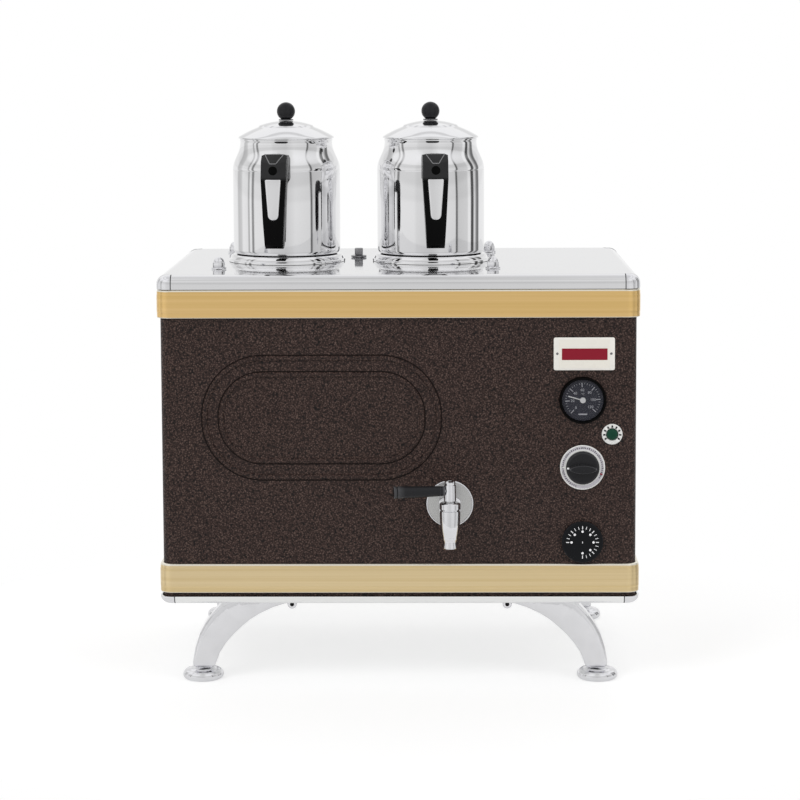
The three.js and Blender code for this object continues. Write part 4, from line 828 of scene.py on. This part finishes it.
corners = {"front_left": (-1, -1), "front_right": (1, -1), "rear_left": (-1, 1), "rear_right": (1, 1)}
quarter_turns = {(1, 1): 0, (-1, 1): 1, (-1, -1): 2, (1, -1): 3}
for corner, (sign_x, sign_y) in corners.items():
    for level, height, edge, z in (("top", cover_height + cap_step, 10, cover_low.z), ("base", tray_height, 8, tray_high.z)):
        cap = corner_cap(height, edge, 1.4)
        mirror_it = Matrix.Diagonal((sign_x, sign_y, 1 if level == "top" else -1, 1))
        put(cap, mirror_it)
        bmesh.ops.recalc_face_normals(cap, faces=cap.faces)
        stands_for = [f"top_corner_cap_{corner}"] if level == "top" else []
        piece = show(f"{level}_cap_{corner}", cap, "chrome_plate", stands_for, place=at(0, centre_y, z))
        thicken(piece, 0.8)
        seam_shade = put(corner_shadow_strip(height, edge), mirror_it)
        bmesh.ops.recalc_face_normals(seam_shade, faces=seam_shade.faces)
        show(f"{level}_cap_seam_shadow_{corner}", seam_shade, "black_rubber", place=at(0, centre_y, z))

# %% [markdown]
# ## Legs
#
# The legs are castings: a thick curved bracket with soft edges, bolted under the tray. A
# rounded section is drawn through a row of placings, each of which stretches and turns it, and
# a Subdivision Surface smooths the run from one placing to the next.

# %% Draw the leg from foot to tip
leg_stations = [
    ((12.9, 11.8), (-11.1, 11.8)), ((14.6, 19), (-10.2, 21)), ((18.5, 29), (-7.6, 35)),
    ((25.3, 39.5), (-3, 49.3)), ((33, 48.4), (3, 60.5)), ((42, 57), (11.1, 71.7)),
    ((51, 64.6), (19.4, 81)), ((61, 71), (31, 86.6)), ((75, 77.8), (58, 86.6)),
    ((88, 82.2), (82, 86.6)), ((101, 83.7), (101, 86.6)),
]
leg_thickness = 26


def leg_place(inner, outer):
    inner, outer = Vector((inner[0], 0, inner[1])), Vector((outer[0], 0, outer[1]))
    across = inner - outer
    run = Vector((0, 1, 0)).cross(across).normalized()
    place = Matrix((across, Vector((0, leg_thickness, 0)), run)).transposed().to_4x4()
    return Matrix.Translation((inner + outer) / 2) @ place


def cast_leg():
    bm = bmesh.new()
    bmesh.ops.create_grid(bm, x_segments=1, y_segments=1, size=0.5)
    bmesh.ops.bevel(bm, geom=bm.verts[:], offset=0.16, offset_type="OFFSET", segments=3,
                    profile=0.5, affect="VERTICES", material=-1)
    return drawn(bm, [leg_place(*station) for station in leg_stations])


# %% Turn the foot pad and stand the four legs
pad_profile = ([(0, 0), (18.3, 0)] + bend((18.5, 0), (21.3, 0.6), (21.5, 4)) + bend((21.5, 4.5), (21.4, 8), (18.6, 9.4))
               + bend((17.2, 9.6), (13.4, 9.8), (12.6, 11.5)) + [(0, 11.5)])
for corner, (sign_x, sign_y) in corners.items():
    pad = middle(f"foot_pad_{corner}")
    facing = Matrix.Rotation(math.pi if sign_x > 0 else 0, 4, "Z")
    show(f"pad_{corner}", turned(pad_profile), "chrome_plate", [f"foot_pad_{corner}"], place=at(pad.x, pad.y, 0))
    leg = show(f"cast_leg_{corner}", cast_leg(), "chrome_plate", [f"leg_{corner}"], place=at(pad.x, pad.y, 0, facing), smooth=60)
    round_off = leg.modifiers.new("cast", "SUBSURF")
    round_off.levels = round_off.render_levels = 2

# %% Eyes at the tips of the legs, each with its pin, seen below the tray
eye_profile = ([(2.2, -9), (2.2, -13)] + bend((3.4, -13), (5, -13), (5, -11.4), 4)
               + bend((5, 11.4), (5, 13), (3.4, 13), 4) + [(2.2, 13), (2.2, 9), (0, 9), (0, -9)])
for corner, (sign_x, sign_y) in corners.items():
    pad = middle(f"foot_pad_{corner}")
    eye_x = pad.x - sign_x * 95.4
    eye = turned([(radius, -height) for radius, height in eye_profile], True, 40)
    show(f"leg_eye_{corner}", eye, "chrome_plate", place=at(eye_x, pad.y, tray_low.z - 5.2, FRONT))
    pin = turned([(0, -9.4), (2.15, -9.4), (2.15, 9.4), (0, 9.4)], False, 24)
    show(f"leg_pin_{corner}", pin, "black_rubber", place=at(eye_x, pad.y, tray_low.z - 5.2, FRONT))

# %% [markdown]
# ## Teapot collars and fittings
#
# The collars are spun from sheet, so their whole outline is turned. The nuts that hold the
# cover are acorn nuts: a washer, a hexagon and a dome.

# %% Turn the collars
collar_profile = ([(55.5, -24), (57, -24), (57, 0.3), (64, 0.3)] + bend((64, 1.8), (64, 3), (62.8, 3), 4)
                  + bend((62.2, 3.2), (61.6, 8), (58.8, 8), 8) + [(57.5, 8)] + bend((57.3, 8), (55.5, 7.6), (55.5, 6), 4))
cover_top = cover_high.z
for side, place in pot_places.items():
    show(f"spun_collar_{side}", turned(collar_profile, True, 128), "polished_steel", [f"pot_collar_{side}"],
         place=at(place.x, place.y, cover_top))

# %% Set the acorn nuts
nut_dome = [(0, 1.9), (5.9, 1.9), (5.9, 7.3)] + bend((5.9, 7.3), (5.4, 12.8), (0, 12.8), 8)
nut_washer = [(0, 0.3), (7.7, 0.3), (8, 0.6), (8, 1.4), (7.6, 1.9), (0, 1.9)]
for corner in corners:
    place = middle(f"cap_nut_{corner}")
    hexagon = soften(prism(6, 7.2, 5.4, at(0, 0, 1.9)), 0.5, 3, 50)
    nut = gather(turned(nut_dome, steps=32), turned(nut_washer, steps=32), hexagon)
    show(f"acorn_nut_{corner}", nut, "chrome_plate", [f"cap_nut_{corner}"], place=at(place.x, place.y, cover_top))

# %% Set the filler plug
plug_place = middle("filler_plug")
plug_stem = [(0, -13.7), (4.4, -13.7), (5, -13), (5, 0.3), (8.3, 0.3), (8.6, 0.6), (8.6, 1.9), (8.2, 2.3), (0, 2.3)]
plug = gather(turned(plug_stem, steps=32), soften(block(9, 9, 8, at(0, 0, 2.3)), 0.9))
# The plug takes the darker copy of the chrome, as painted shade.
show("square_plug", plug, "shaded_chrome", ["filler_plug"], "filler", at(plug_place.x, plug_place.y, cover_top))

# %% [markdown]
# ## Teapots
#
# A teapot's body is one open surface turned from a profile and thickened inwards. The gentle
# shoulder is a Bezier between the wall and the neck. The spout at the back is a round face
# drawn along a curve while it narrows, then cut level at its lip.

# %% Turn the body
pot_turns = {"left": Matrix.Rotation(math.radians(-5), 4, "Z"), "right": Matrix.Rotation(math.radians(3.5), 4, "Z")}
spigot_depth = 24
pot_base = corners_of("pot_body_left")[0].z + spigot_depth
shoulder = interpolate_bezier((58.5, 92.4), (58.5, 103), (50.4, 110), (50.2, 121), 14)
pot_profile = ([(0, -24)] + bend((51.5, -24), (54.5, -24), (54.5, -21)) + [(54.5, -0.6)]
               + bend((54.9, 0), (58.3, 0.2), (58.5, 5), 8) + [(58.5, 48), (58.5, 91.6), (58.3, 92)]
               + [tuple(point) for point in shoulder] + [(50.2, 123.4), (50.5, 123.8), (50.5, 125.6), (50.2, 126)])
for side, place in pot_places.items():
    where = at(place.x, place.y, pot_base, pot_turns[side])
    pot = show(f"spun_pot_{side}", turned(pot_profile, False, 128), "polished_steel",
               [f"pot_body_{side}"], f"pot_{side}", where, 50)
    thicken(pot, 1.2, 50)

# %% Draw the spout and the bracket behind the handle
spout_path = interpolate_bezier((0, 44, 26), (0, 74, 52), (0, 78, 92), (0, 104, 124), 14)


def spout_place(index):
    ahead = spout_path[min(index + 1, len(spout_path) - 1)] - spout_path[max(index - 1, 0)]
    width = 14 - 6.8 * min(1, index / (len(spout_path) - 3))
    turn = ahead.to_track_quat("Z", "Y").to_matrix().to_4x4()
    return Matrix.Translation(spout_path[index]) @ turn @ Matrix.Scale(width, 4)


def cut_off(bm, point, direction):
    geometry = bm.verts[:] + bm.edges[:] + bm.faces[:]
    bmesh.ops.bisect_plane(bm, geom=geometry, plane_co=point, plane_no=direction, clear_outer=True)


for side, place in pot_places.items():
    where = at(place.x, place.y, pot_base, pot_turns[side])
    bm = bmesh.new()
    bmesh.ops.create_circle(bm, cap_ends=True, segments=40, radius=1)
    spout = drawn(bm, [spout_place(index) for index in range(len(spout_path))])
    cut_off(spout, (0, 0, 110), (0, 0, 1))
    cut_off(spout, (0, 55.4, 0), (0, -1, 0))
    thicken(show(f"spout_{side}", spout, "polished_steel", (), f"pot_{side}", where, 50), 1.2, 50)
    arm = soften(block(12, 20, 9, at(0, -67, 91.5)), 1.5)
    show(f"handle_arm_{side}", arm, "polished_steel", (), f"pot_{side}", where)

# %% [markdown]
# ## Handles
#
# The bakelite handle is drawn from the side, extruded in two steps to one flank and mirrored.
# Moving the front corners of the middle strip gives the sloped nose with its V of facets, and
# a taper narrows the grip to its foot. Bevels round every edge as the mould does.

# %% Shape the handle
handle_side = [(-61.5, 85), (-61.5, 106.6), (-72, 112), (-86, 112), (-98, 102.5), (-98, 86), (-98, 40),
               (-95.6, 16.5), (-91.5, 12), (-84.5, 12), (-81, 15.5), (-79.6, 48), (-80.6, 80), (-77, 85)]


nose, flank, grip_share = 3.3, 10, 19 / 27


def moulded_handle():
    bm = bmesh.new()
    face = bm.faces.new([bm.verts.new((0, y, z)) for y, z in handle_side])
    outer_face = face
    for step in (nose, 13.5 - nose):
        made = bmesh.ops.extrude_face_region(bm, geom=[outer_face])["geom"]
        fresh = {part for part in made if isinstance(part, bmesh.types.BMVert)}
        outer_face = next(part for part in made if isinstance(part, bmesh.types.BMFace) and set(part.verts) <= fresh)
        bmesh.ops.translate(bm, verts=list(fresh), vec=(step, 0, 0))
    bmesh.ops.delete(bm, geom=[part for part in bm.faces if part.calc_center_median().x < 0.01], context="FACES_ONLY")
    for vert in bm.verts:
        x, y, z = vert.co
        if z < 85:
            vert.co.x *= 1 - (1 - grip_share) * (85 - z) / 73
        if y == -86 and 0 < x < 5:
            vert.co.x = flank
        if z == 112 and x > 13:
            vert.co.z = 110.6
        if y == -98 and z > 100 and x > 13:
            vert.co.y, vert.co.z = -92.5, 104.5
        if y == -98 and z == 86 and x > 13:
            vert.co.y = -95.5
    bmesh.ops.mirror(bm, geom=bm.verts[:] + bm.edges[:] + bm.faces[:], axis="X", merge_dist=0.01)
    return tidy(bm, 0.01)


def mould_edges(piece):
    rounding = piece.modifiers.new("mould", "BEVEL")
    rounding.width, rounding.segments, rounding.limit_method = 0.9 * MM, 3, "ANGLE"
    rounding.angle_limit = math.radians(9)
    settle(piece, 26)


def rod(start, end, radius):
    start, end = Vector(start), Vector(end)
    turn = (end - start).to_track_quat("Z", "Y").to_matrix().to_4x4()
    return prism(12, radius, (end - start).length, Matrix.Translation(start) @ turn)


# Thin grey rods along the edges of the nose are painted highlights on its V of facets.
def painted_edge_highlights():
    top_y, top_z, tip_y, tip_z = -86.2, 111.8, -97.7, 102.3
    sides = [rod((sign * flank, top_y, top_z), (sign * nose, tip_y, tip_z), 0.5) for sign in (-1, 1)]
    return gather(*sides, rod((-nose, tip_y, tip_z), (nose, tip_y, tip_z), 0.5),
                  rod((-flank, top_y, top_z), (flank, top_y, top_z), 0.4))


screw_z, screw_depth = 95, 1.2
for side, place in pot_places.items():
    where = at(place.x, place.y, pot_base, pot_turns[side])
    handle = show(f"moulded_handle_{side}", moulded_handle(), "handle_black",
                  [f"pot_handle_{side}"], f"pot_{side}", where, 26)
    carve(handle, put(prism(40, 4.7, 12, at(0, screw_depth - 98, screw_z, FRONT)), where), 26)
    mould_edges(handle)
    show(f"handle_edge_highlights_{side}", painted_edge_highlights(), "highlight_grey", (), f"pot_{side}", where)
    # The screw in the hole is near-black: painted shade in the hole.
    screw = turned([(0, -1), (4.6, -1), (4.6, 0.5), (4.3, 0.7), (0, 0.7)], steps=40)
    show(f"handle_screw_{side}", screw, "deep_black", (), f"pot_{side}", where @ at(0, screw_depth - 98, screw_z, FRONT))

# %% Let the steel insert into the handle
for side, place in pot_places.items():
    bm = bmesh.new()
    face = bm.faces.new([bm.verts.new(point) for point in ((-8.8, 0, 0), (-5.65, -43.7, 0), (5.65, -43.7, 0), (8.8, 0, 0))])
    low_verts = [vert for vert in bm.verts if vert.co.y < -40]
    bmesh.ops.bevel(bm, geom=low_verts, offset=5.2, offset_type="OFFSET", segments=8, profile=0.5,
                    affect="VERTICES", material=-1)
    insert = drawn(bm, [at(0, 0, -1), at(0, 0, 3)])
    soften(insert, 2.6, 6, 40)
    where = at(place.x, place.y, pot_base, pot_turns[side])
    show(f"steel_insert_{side}", insert, "polished_steel", [f"handle_insert_{side}"], f"pot_{side}",
         where @ at(0, -96, 86, FRONT), 40)

# %% [markdown]
# ## Lids and knobs
#
# A lid is a shallow dome with a raised centre, a thin rim and a skirt that drops into the
# neck. The knob is a moulded ball on a short neck with a washer.

# %% Turn the lids and knobs
lid_profile = ([tuple(point) for point in interpolate_bezier((0, 19), (9.8, 19), (19.7, 17.3), (29, 14), 10)]
               + [(29.8, 12.9), (30.4, 12.2)]
               + [tuple(point) for point in interpolate_bezier((31, 11.9), (37.4, 9.6), (44.1, 6.4), (50.6, 2.5), 10)]
               + bend((51.4, 1.9), (52.2, 1.4), (52.2, 0.8), 3) + [(52.2, 0.3), (48.5, 0.3), (48.5, -10), (47.3, -10)]
               + [(47.3, 2.6), (29.5, 11.3), (0, 17.6)])
knob_profile = ([(0, 0.3), (7.7, 0.3), (8, 0.6), (8, 1.3), (7.7, 1.6), (5.6, 1.7)]
                + arc((0, 10.25), 9.98, -56, 90, 20))
for side, place in pot_places.items():
    where = at(place.x, place.y, corners_of("pot_lid_left")[0].z + 10, pot_turns[side])
    show(f"spun_lid_{side}", turned(lid_profile, False, 128), "polished_steel", [f"pot_lid_{side}"], f"lid_{side}", where, 25)
    knob_low = corners_of(f"lid_knob_{side}")[0].z - 0.3
    show(f"ball_knob_{side}", turned(knob_profile, False, 48), "black_bakelite", [f"lid_knob_{side}"], f"lid_{side}",
         at(place.x, place.y, knob_low))

# %% [markdown]
# ## Tap
#
# The tap is a plug tap of turned brass, chromed: a flange on the panel, a hexagon, an arm and
# an upright body with a nozzle. The lever head turns the plug, with a bakelite grip on it.

# %% Turn the flange and the body
flange_profile = [(9.3, 0.3), (24, 0.3), (24, 2.3), (9.3, 2.3)]
rim_profile = [(22.8, 1.2), (22.8, 2.3)] + bend((22.8, 2.5), (22.9, 3.2), (23.6, 3.2), 4) + bend((23.6, 3.2), (24.5, 3.2), (24.5, 2.2), 5) + [(24.5, 1.2)]
flange_place = at(tap_place.x, panel_y, tap_place.z, FRONT)
show("tap_rose", turned(flange_profile, True, 96), "brushed_steel", ["tap_flange"], place=flange_place)
show("tap_rose_rim", turned(rim_profile, True, 96), "chrome_plate", place=flange_place)
nut_place, head_place = middle("tap_packing_nut"), middle("tap_lever_head")
axis_y, water_z = nut_place.y, tap_place.z
body_profile = ([(0, -27), (4, -27), (4, -37.8), (6.9, -37.8), (7.4, -37.3), (7.4, -35.6), (6.8, -33), (6.7, -30.4),
                 (7.1, -29.2)] + bend((7.4, -28.8), (7.8, -28.2), (7.9, -26), 4)
                + [tuple(point) for point in interpolate_bezier((8, -25), (9.8, -18), (10.6, -10), (10.6, 1.2), 8)]
                + [(9.5, 1.6), (9.5, 2.4), (0, 2.4)])
wall_y = panel_y - axis_y
nut_reach = wall_y - 3
hexagon = soften(prism(6, 13.3, 9, at(0, nut_reach, 0, FRONT)), 1.2, 3, 50)
arm = put(turned([(0, 0), (8, 0), (8, nut_reach), (0, nut_reach)], steps=48), BACK)
shank = put(turned([(0, 0), (9, 0), (9, 36), (8.4, 38), (0, 38)], steps=32), at(0, nut_reach, 0, BACK))
tap = gather(turned(body_profile, False, 64), hexagon, arm, shank)
tap_drop = 1.5
show("tap_casting", tap, "chrome_plate", ["tap_body"], place=at(tap_place.x, axis_y, water_z - tap_drop))

# %% Packing nut, lever head and grip
nut_low = corners_of("tap_packing_nut")[0].z - 2 * tap_drop
packing = [(5.5, 0), (10.3, 0), (10.8, 0.5), (10.8, 5)] + bend((10.8, 5.6), (10.6, 6.9), (8.6, 7.2), 5) + [(5.5, 7.2)]
show("tap_gland_nut", turned(packing, True, 64), "chrome_plate", ["tap_packing_nut"], place=at(tap_place.x, axis_y, nut_low))
head_low, head_high = corners_of("tap_lever_head")
swing = Matrix.Rotation(math.radians(10.8), 4, "Z")
lever = at(tap_place.x, axis_y, head_low.z, swing)
head_profile = ([(0, -3.4), (5.6, -3.4), (6.3, -2.6), (6, 13.4), (5.4, 13.8), (5.4, 14.8)]
                + bend((5.6, 15.2), (5.6, 18.2), (4.4, 18.2), 4) + [(0, 18.2)])
head = show("tap_head", gather(turned(head_profile, False, 48), put(turned([(0, 0), (3.2, 0), (3.2, 16), (0, 16)], steps=24),
            at(0, 0, 7.6, LEFT))), "chrome_plate", ["tap_lever_head"], "tap_lever", lever)
carve(head, put(block(5, 14, 4), lever @ at(0, 0, 16.8)))
grip_profile = ([(0, 5.7), (4.5, 5.7), (5, 6.2), (5, 10), (5.2, 10.3)]
                + [tuple(point) for point in interpolate_bezier((5.2, 11), (5.7, 26), (6.1, 40), (6.35, 54.6), 8)]
                + [(5.9, 55.1), (5.9, 55.7), (6.35, 56.1), (6.35, 57.5)] + bend((6.35, 57.6), (6.35, 58.5), (5.4, 58.5), 3) + [(0, 58.5)])
show("tap_lever_grip", turned(grip_profile, False, 48), "black_bakelite", ["tap_grip"], "tap_lever", lever @ at(0, 0, 7.6, LEFT))

# %% [markdown]
# ## Printed marks
#
# Scales are printed, so their strokes lie a hair above the face. Strokes are thin blocks set
# round a circle, and figures are text turned to a mesh before it is placed. Angles run from
# three o'clock, upwards.

# %% Strokes, dots and figures
def stroke(angle, inner, outer, width, rise=0.12):
    turn = Matrix.Rotation(math.radians(angle), 4, "Z")
    return block(outer - inner, width, rise, turn @ Matrix.Translation(((inner + outer) / 2, 0, 0)))


def dot(angle, distance, radius, rise=0.12):
    turn = Matrix.Rotation(math.radians(angle), 4, "Z")
    return prism(16, radius, rise, turn @ Matrix.Translation((distance, 0, 0)))


def figure(text, size, place, rise=0.12):
    words = bpy.data.curves.new("figure", "FONT")
    words.body, words.size, words.extrude, words.resolution_u = text, size, rise / 2, 2
    words.align_x = words.align_y = "CENTER"
    shaped = bpy.data.objects.new("figure", words)
    bpy.context.scene.collection.objects.link(shaped)
    bpy.context.evaluated_depsgraph_get().update()
    mesh = bpy.data.meshes.new_from_object(shaped.evaluated_get(bpy.context.evaluated_depsgraph_get()))
    bpy.data.objects.remove(shaped)
    bm = bmesh.new()
    bm.from_mesh(mesh)
    return put(tidy(bm, 0.0005), place @ Matrix.Translation((0, 0, rise / 2)))


def on_circle(angle, distance):
    return Matrix.Translation((distance * math.cos(math.radians(angle)), distance * math.sin(math.radians(angle)), 0))


# %% [markdown]
# ## Thermometer
#
# A black bezel holds a glass over a dark dial with seven figures, and a white needle with a
# round hub. The dial and its print are pieces of their own, because they have other finishes.

# %% Bezel, dial and glass
gauge = at(dial_x, panel_y, gauge_z, FRONT)
bezel_profile = ([(0, -26), (21.6, -26), (22, -25.6), (22, 0.3), (24.2, 0.3)] + bend((24.5, 0.6), (24.5, 5.6), (23.4, 6.1), 6)
                 + bend((23.2, 6.2), (22.2, 6.2), (21.7, 5.2), 5) + [(21.5, 1.0), (0, 1.0)])
show("gauge_bezel", turned(bezel_profile, False, 96), "deep_black", ["thermometer_case"], place=gauge)
show("gauge_dial", turned([(0, 1.02), (21.4, 1.02), (21.4, 1.2), (0, 1.2)], False, 96), "dial_face", place=gauge)
glass_low, glass_high = corners_of("thermometer_glass")
glass = turned([(0, 0), (21.1, 0), (21.1, 0.9), (20.8, 1.2), (0, 1.2)], False, 96)
show("gauge_glass", glass, "dial_glass", ["thermometer_glass"], place=at(dial_x, glass_high.y, gauge_z, FRONT))

# %% Dial print and needle
scale_start, scale_step, majors = 228, -45, 7
marks = [stroke(scale_start + scale_step * index, 13.6, 18.2, 0.8) for index in range(majors)]
marks += [stroke(scale_start + scale_step / 5 * index, 16.6, 18.2, 0.35) for index in range(5 * majors - 4) if index % 5]
marks += [figure(str(20 * index), 4, on_circle(scale_start + scale_step * index, 10.6)) for index in range(majors)]
marks += [figure("°C", 3.2, Matrix.Translation((0, 6.3, 0))), block(9, 1.3, 0.12, at(0, -14.6, 0))]
show("gauge_print", gather(*marks), "grey_ink", place=gauge @ at(0, 0, 1.19))
needle_angle = 164
pointer = gather(turned([(0, 0), (3, 0), (3, 1.2), (2.6, 1.6), (0, 1.6)], False, 32),
                 soften(block(15.6, 1.1, 0.6, Matrix.Rotation(math.radians(needle_angle), 4, "Z") @ at(7.8, 0, 0.4)), 0.15, 2),
                 turned([(0, 1.6), (1, 1.6), (0.9, 2), (0, 2)], False, 24))
needle_low, needle_high = corners_of("thermometer_needle")
show("gauge_needle", pointer, "white_ink", ["thermometer_needle"], "needle", at(dial_x, needle_high.y, gauge_z, FRONT))

# %% [markdown]
# ## Signal lamp
#
# A white moulded ring with small dark marks round its upper half holds a faceted green lens.

# %% Ring, marks and lens
lamp_front = at(lens_place.x, panel_y, lens_place.z, FRONT)
ring_profile = ([(0, -24), (7.4, -24), (7.6, -23.6), (7.6, 0.3), (10.5, 0.3)] + bend((10.8, 0.6), (10.8, 2), (9.8, 2), 4)
                + [(6.8, 2)] + bend((6.7, 2), (6.3, 1.9), (6.3, 1.3), 3) + [(6.3, -2), (0, -2)])
show("lamp_ring", turned(ring_profile, False, 64), "white_plastic", ["lamp_housing"], place=lamp_front)
lamp_marks = [stroke(214 - 31 * index, 6.9, 9.4, 1.7) for index in range(9)]
show("lamp_marks", gather(*lamp_marks), "black_ink", place=lamp_front @ at(0, 0, 2))
lens = turned([(0, -1.6), (6, -1.6), (6, 2), (5.2, 3.4), (3, 4.4), (0, 4.6)], False, 12)
show("lamp_jewel", lens, "green_lens", ["lamp_lens"], place=lamp_front, smooth=5)

# %% [markdown]
# ## Thermostat
#
# A silver scale ring lies under a black knob with a raised bar across it. The ring carries
# strokes and figures, one of them red.

# %% Scale ring and its print
thermostat = at(dial_x, panel_y, knob_z, FRONT)
scale_profile = [(5.3, 0.3), (22.9, 0.3), (23.3, 0.7), (23.3, 1.5), (23, 1.9), (22.3, 1.9), (22.1, 1.6),
                 (18.9, 1.6), (18.7, 1.9), (5.3, 1.9)]
show("scale_ring", turned(scale_profile, True, 96), "white_plastic", ["thermostat_scale_ring"], place=thermostat)
field = turned([(18.8, 1.55), (22.2, 1.55), (22.2, 1.68), (18.8, 1.68)], True, 96)
show("scale_field", field, "silver_print", place=thermostat)
scale_marks = [stroke(250 - 6 * index, 19.8, 21 if index % 3 else 21.6, 0.9) for index in range(48) if index % 9]
for index in range(6):
    angle = 250 - 54 * index
    turn = Matrix.Rotation(math.radians(angle - 90), 4, "Z")
    scale_marks.append(figure(str(20 * index), 2.8, on_circle(angle, 20.5) @ turn))
show("scale_print", gather(*scale_marks), "black_ink", place=thermostat @ at(0, 0, 1.67))
show("scale_red_mark", gather(stroke(-20, 19.1, 21.9, 1.6)), "dark_red_ink", place=thermostat @ at(0, 0, 1.68))
show("scale_start_mark", gather(stroke(180, 18.9, 20.9, 1.6)), "white_plastic", place=thermostat @ at(0, 0, 1.68))

# %% Knob with its bar
skirt = [(0, 2.2), (17.0, 2.2), (17.3, 2.6), (17.3, 5)] + bend((17.3, 5.2), (17.2, 8.2), (14.4, 8.2), 6) + [(0, 8.2)]
bar = bmesh.new()
bar_side = [tuple(point) for point in interpolate_bezier((-14.5, 0.8, 0), (-7, 6.4, 0), (7, 6.4, 0), (14.5, 0.8, 0), 17)]
bar.faces.new([bar.verts.new(point) for point in bar_side + [(-x, -y, 0) for x, y, z in bar_side]])
soften(drawn(bar, [at(0, 0, 2.2), at(0, 0, 17.2, Matrix.Diagonal((0.97, 0.85, 1, 1)))]), 1.3, 4, 50)
show("control_knob", gather(turned(skirt, False, 72), bar), "black_bakelite", ["thermostat_knob"], "thermostat_control", thermostat)
show("knob_pointer", prism(20, 1.1, 1.3, at(-15.3, 0, 7)), "white_ink", (), "thermostat_control", thermostat)

# %% [markdown]
# ## Lower dial
#
# A plain black disc with a printed scale: seven long strokes, each with a dot inside it, and
# two short strokes between each pair.

# %% Disc and print
switch = at(dial_x, panel_y, switch_z, FRONT)
disc = [(0, 0.3), (21.2, 0.3), (21.5, 0.6), (21.5, 3.8)] + bend((21.5, 3.9), (21.4, 4.9), (20.2, 4.9), 5) + [(0, 4.9)]
show("switch_disc", turned(disc, False, 96), "switch_black", ["switch_dial"], "switch_control", switch)
switch_marks = []
for index in range(19):
    angle = 180 - 15 * index
    switch_marks.append(stroke(angle, 13.8, 17, 0.85 if index % 3 == 0 else 0.55))
    if index % 3 == 0:
        switch_marks.append(dot(angle, 11.4, 1.25))
switch_marks.append(block(0.7, 1.8, 0.12))
show("switch_print", gather(*switch_marks), "white_ink", (), "switch_control", switch @ at(0, 0, 4.9))

# %% [markdown]
# ## Name plate
#
# The plate is left plain: a pale printed sheet with rounded corners, one dark red band and a
# rivet at each end.

# %% Plate, band and rivets
def rounded_sheet(width, height, radius, thickness):
    bm = bmesh.new()
    bmesh.ops.create_grid(bm, x_segments=1, y_segments=1, size=0.5)
    put(bm, Matrix.Diagonal((width, height, 1, 1)))
    bmesh.ops.bevel(bm, geom=bm.verts[:], offset=radius, offset_type="OFFSET", segments=5, profile=0.5,
                    affect="VERTICES", material=-1)
    return drawn(bm, [Matrix.Identity(4), at(0, 0, thickness)])


plate_place = middle("name_plate")
plate = at(plate_place.x, panel_y - 0.3, plate_place.z, FRONT)
show("plain_plate", soften(rounded_sheet(63, 34, 2, 0.8), 0.2, 2, 50), "plate_metal", ["name_plate"], place=plate)
show("plate_inner_field", rounded_sheet(52.5, 29.5, 0.8, 0.06), "plate_field", place=plate @ at(0, 0, 0.8))
show("plate_band", rounded_sheet(47, 12, 0.5, 0.1), "dark_red_ink", place=plate @ at(0.4, -0.4, 0.86))
# The rivets take the darker copy of the chrome, as painted shade.
for name, x in (("left", -27.8), ("right", 27.8)):
    rivet = turned([(0, 0)] + [(1.3, 0)] + bend((1.3, 0.1), (1.2, 0.7), (0, 0.7), 4), False, 20)
    show(f"plate_rivet_{name}", rivet, "shaded_chrome", place=plate @ at(x, 0.2, 0.8))

# %% [markdown]
# ## Back
#
# The galvanised rear panel is held by pan-head screws, and the mains lead leaves through a
# rubber gland with a hexagonal nut.

# %% Gland and screws
gland_low, gland_high = corners_of("cable_gland")
gland_place, rear_y = middle("cable_gland"), corners_of("rear_panel")[1].y
gland_nut = soften(prism(6, 11, 5.7, at(0, 0, 0.3)), 0.8, 3, 50)
gland_dome = turned([(4, -12), (8, -12), (8, 6), (8.5, 6)] + bend((8.5, 11.6), (8.4, 15), (5.6, 15), 6) + [(4, 15)], True, 48)
show("rubber_gland", gather(gland_dome, gland_nut), "black_rubber", ["cable_gland"],
     place=at(gland_place.x, rear_y, gland_place.z, BACK))
screw_profile = [(0, -2), (1.6, -2), (1.6, 0), (3.4, 0), (3.5, 0.4)] + bend((3.5, 0.8), (3.3, 2.1), (0, 2.1), 5)
panel_low, panel_high = corners_of("rear_panel")
index = 0
for x in (panel_low.x + 10, 0, panel_high.x - 10):
    for z in (panel_low.z + 48, panel_high.z - 48):
        index += 1
        rear_screw = gather(turned(screw_profile, False, 28), block(4.4, 0.8, 0.3, at(0, 0, 1.95)))
        show(f"rear_screw_{index}", rear_screw, "chrome_plate", place=at(x, rear_y, z, BACK))
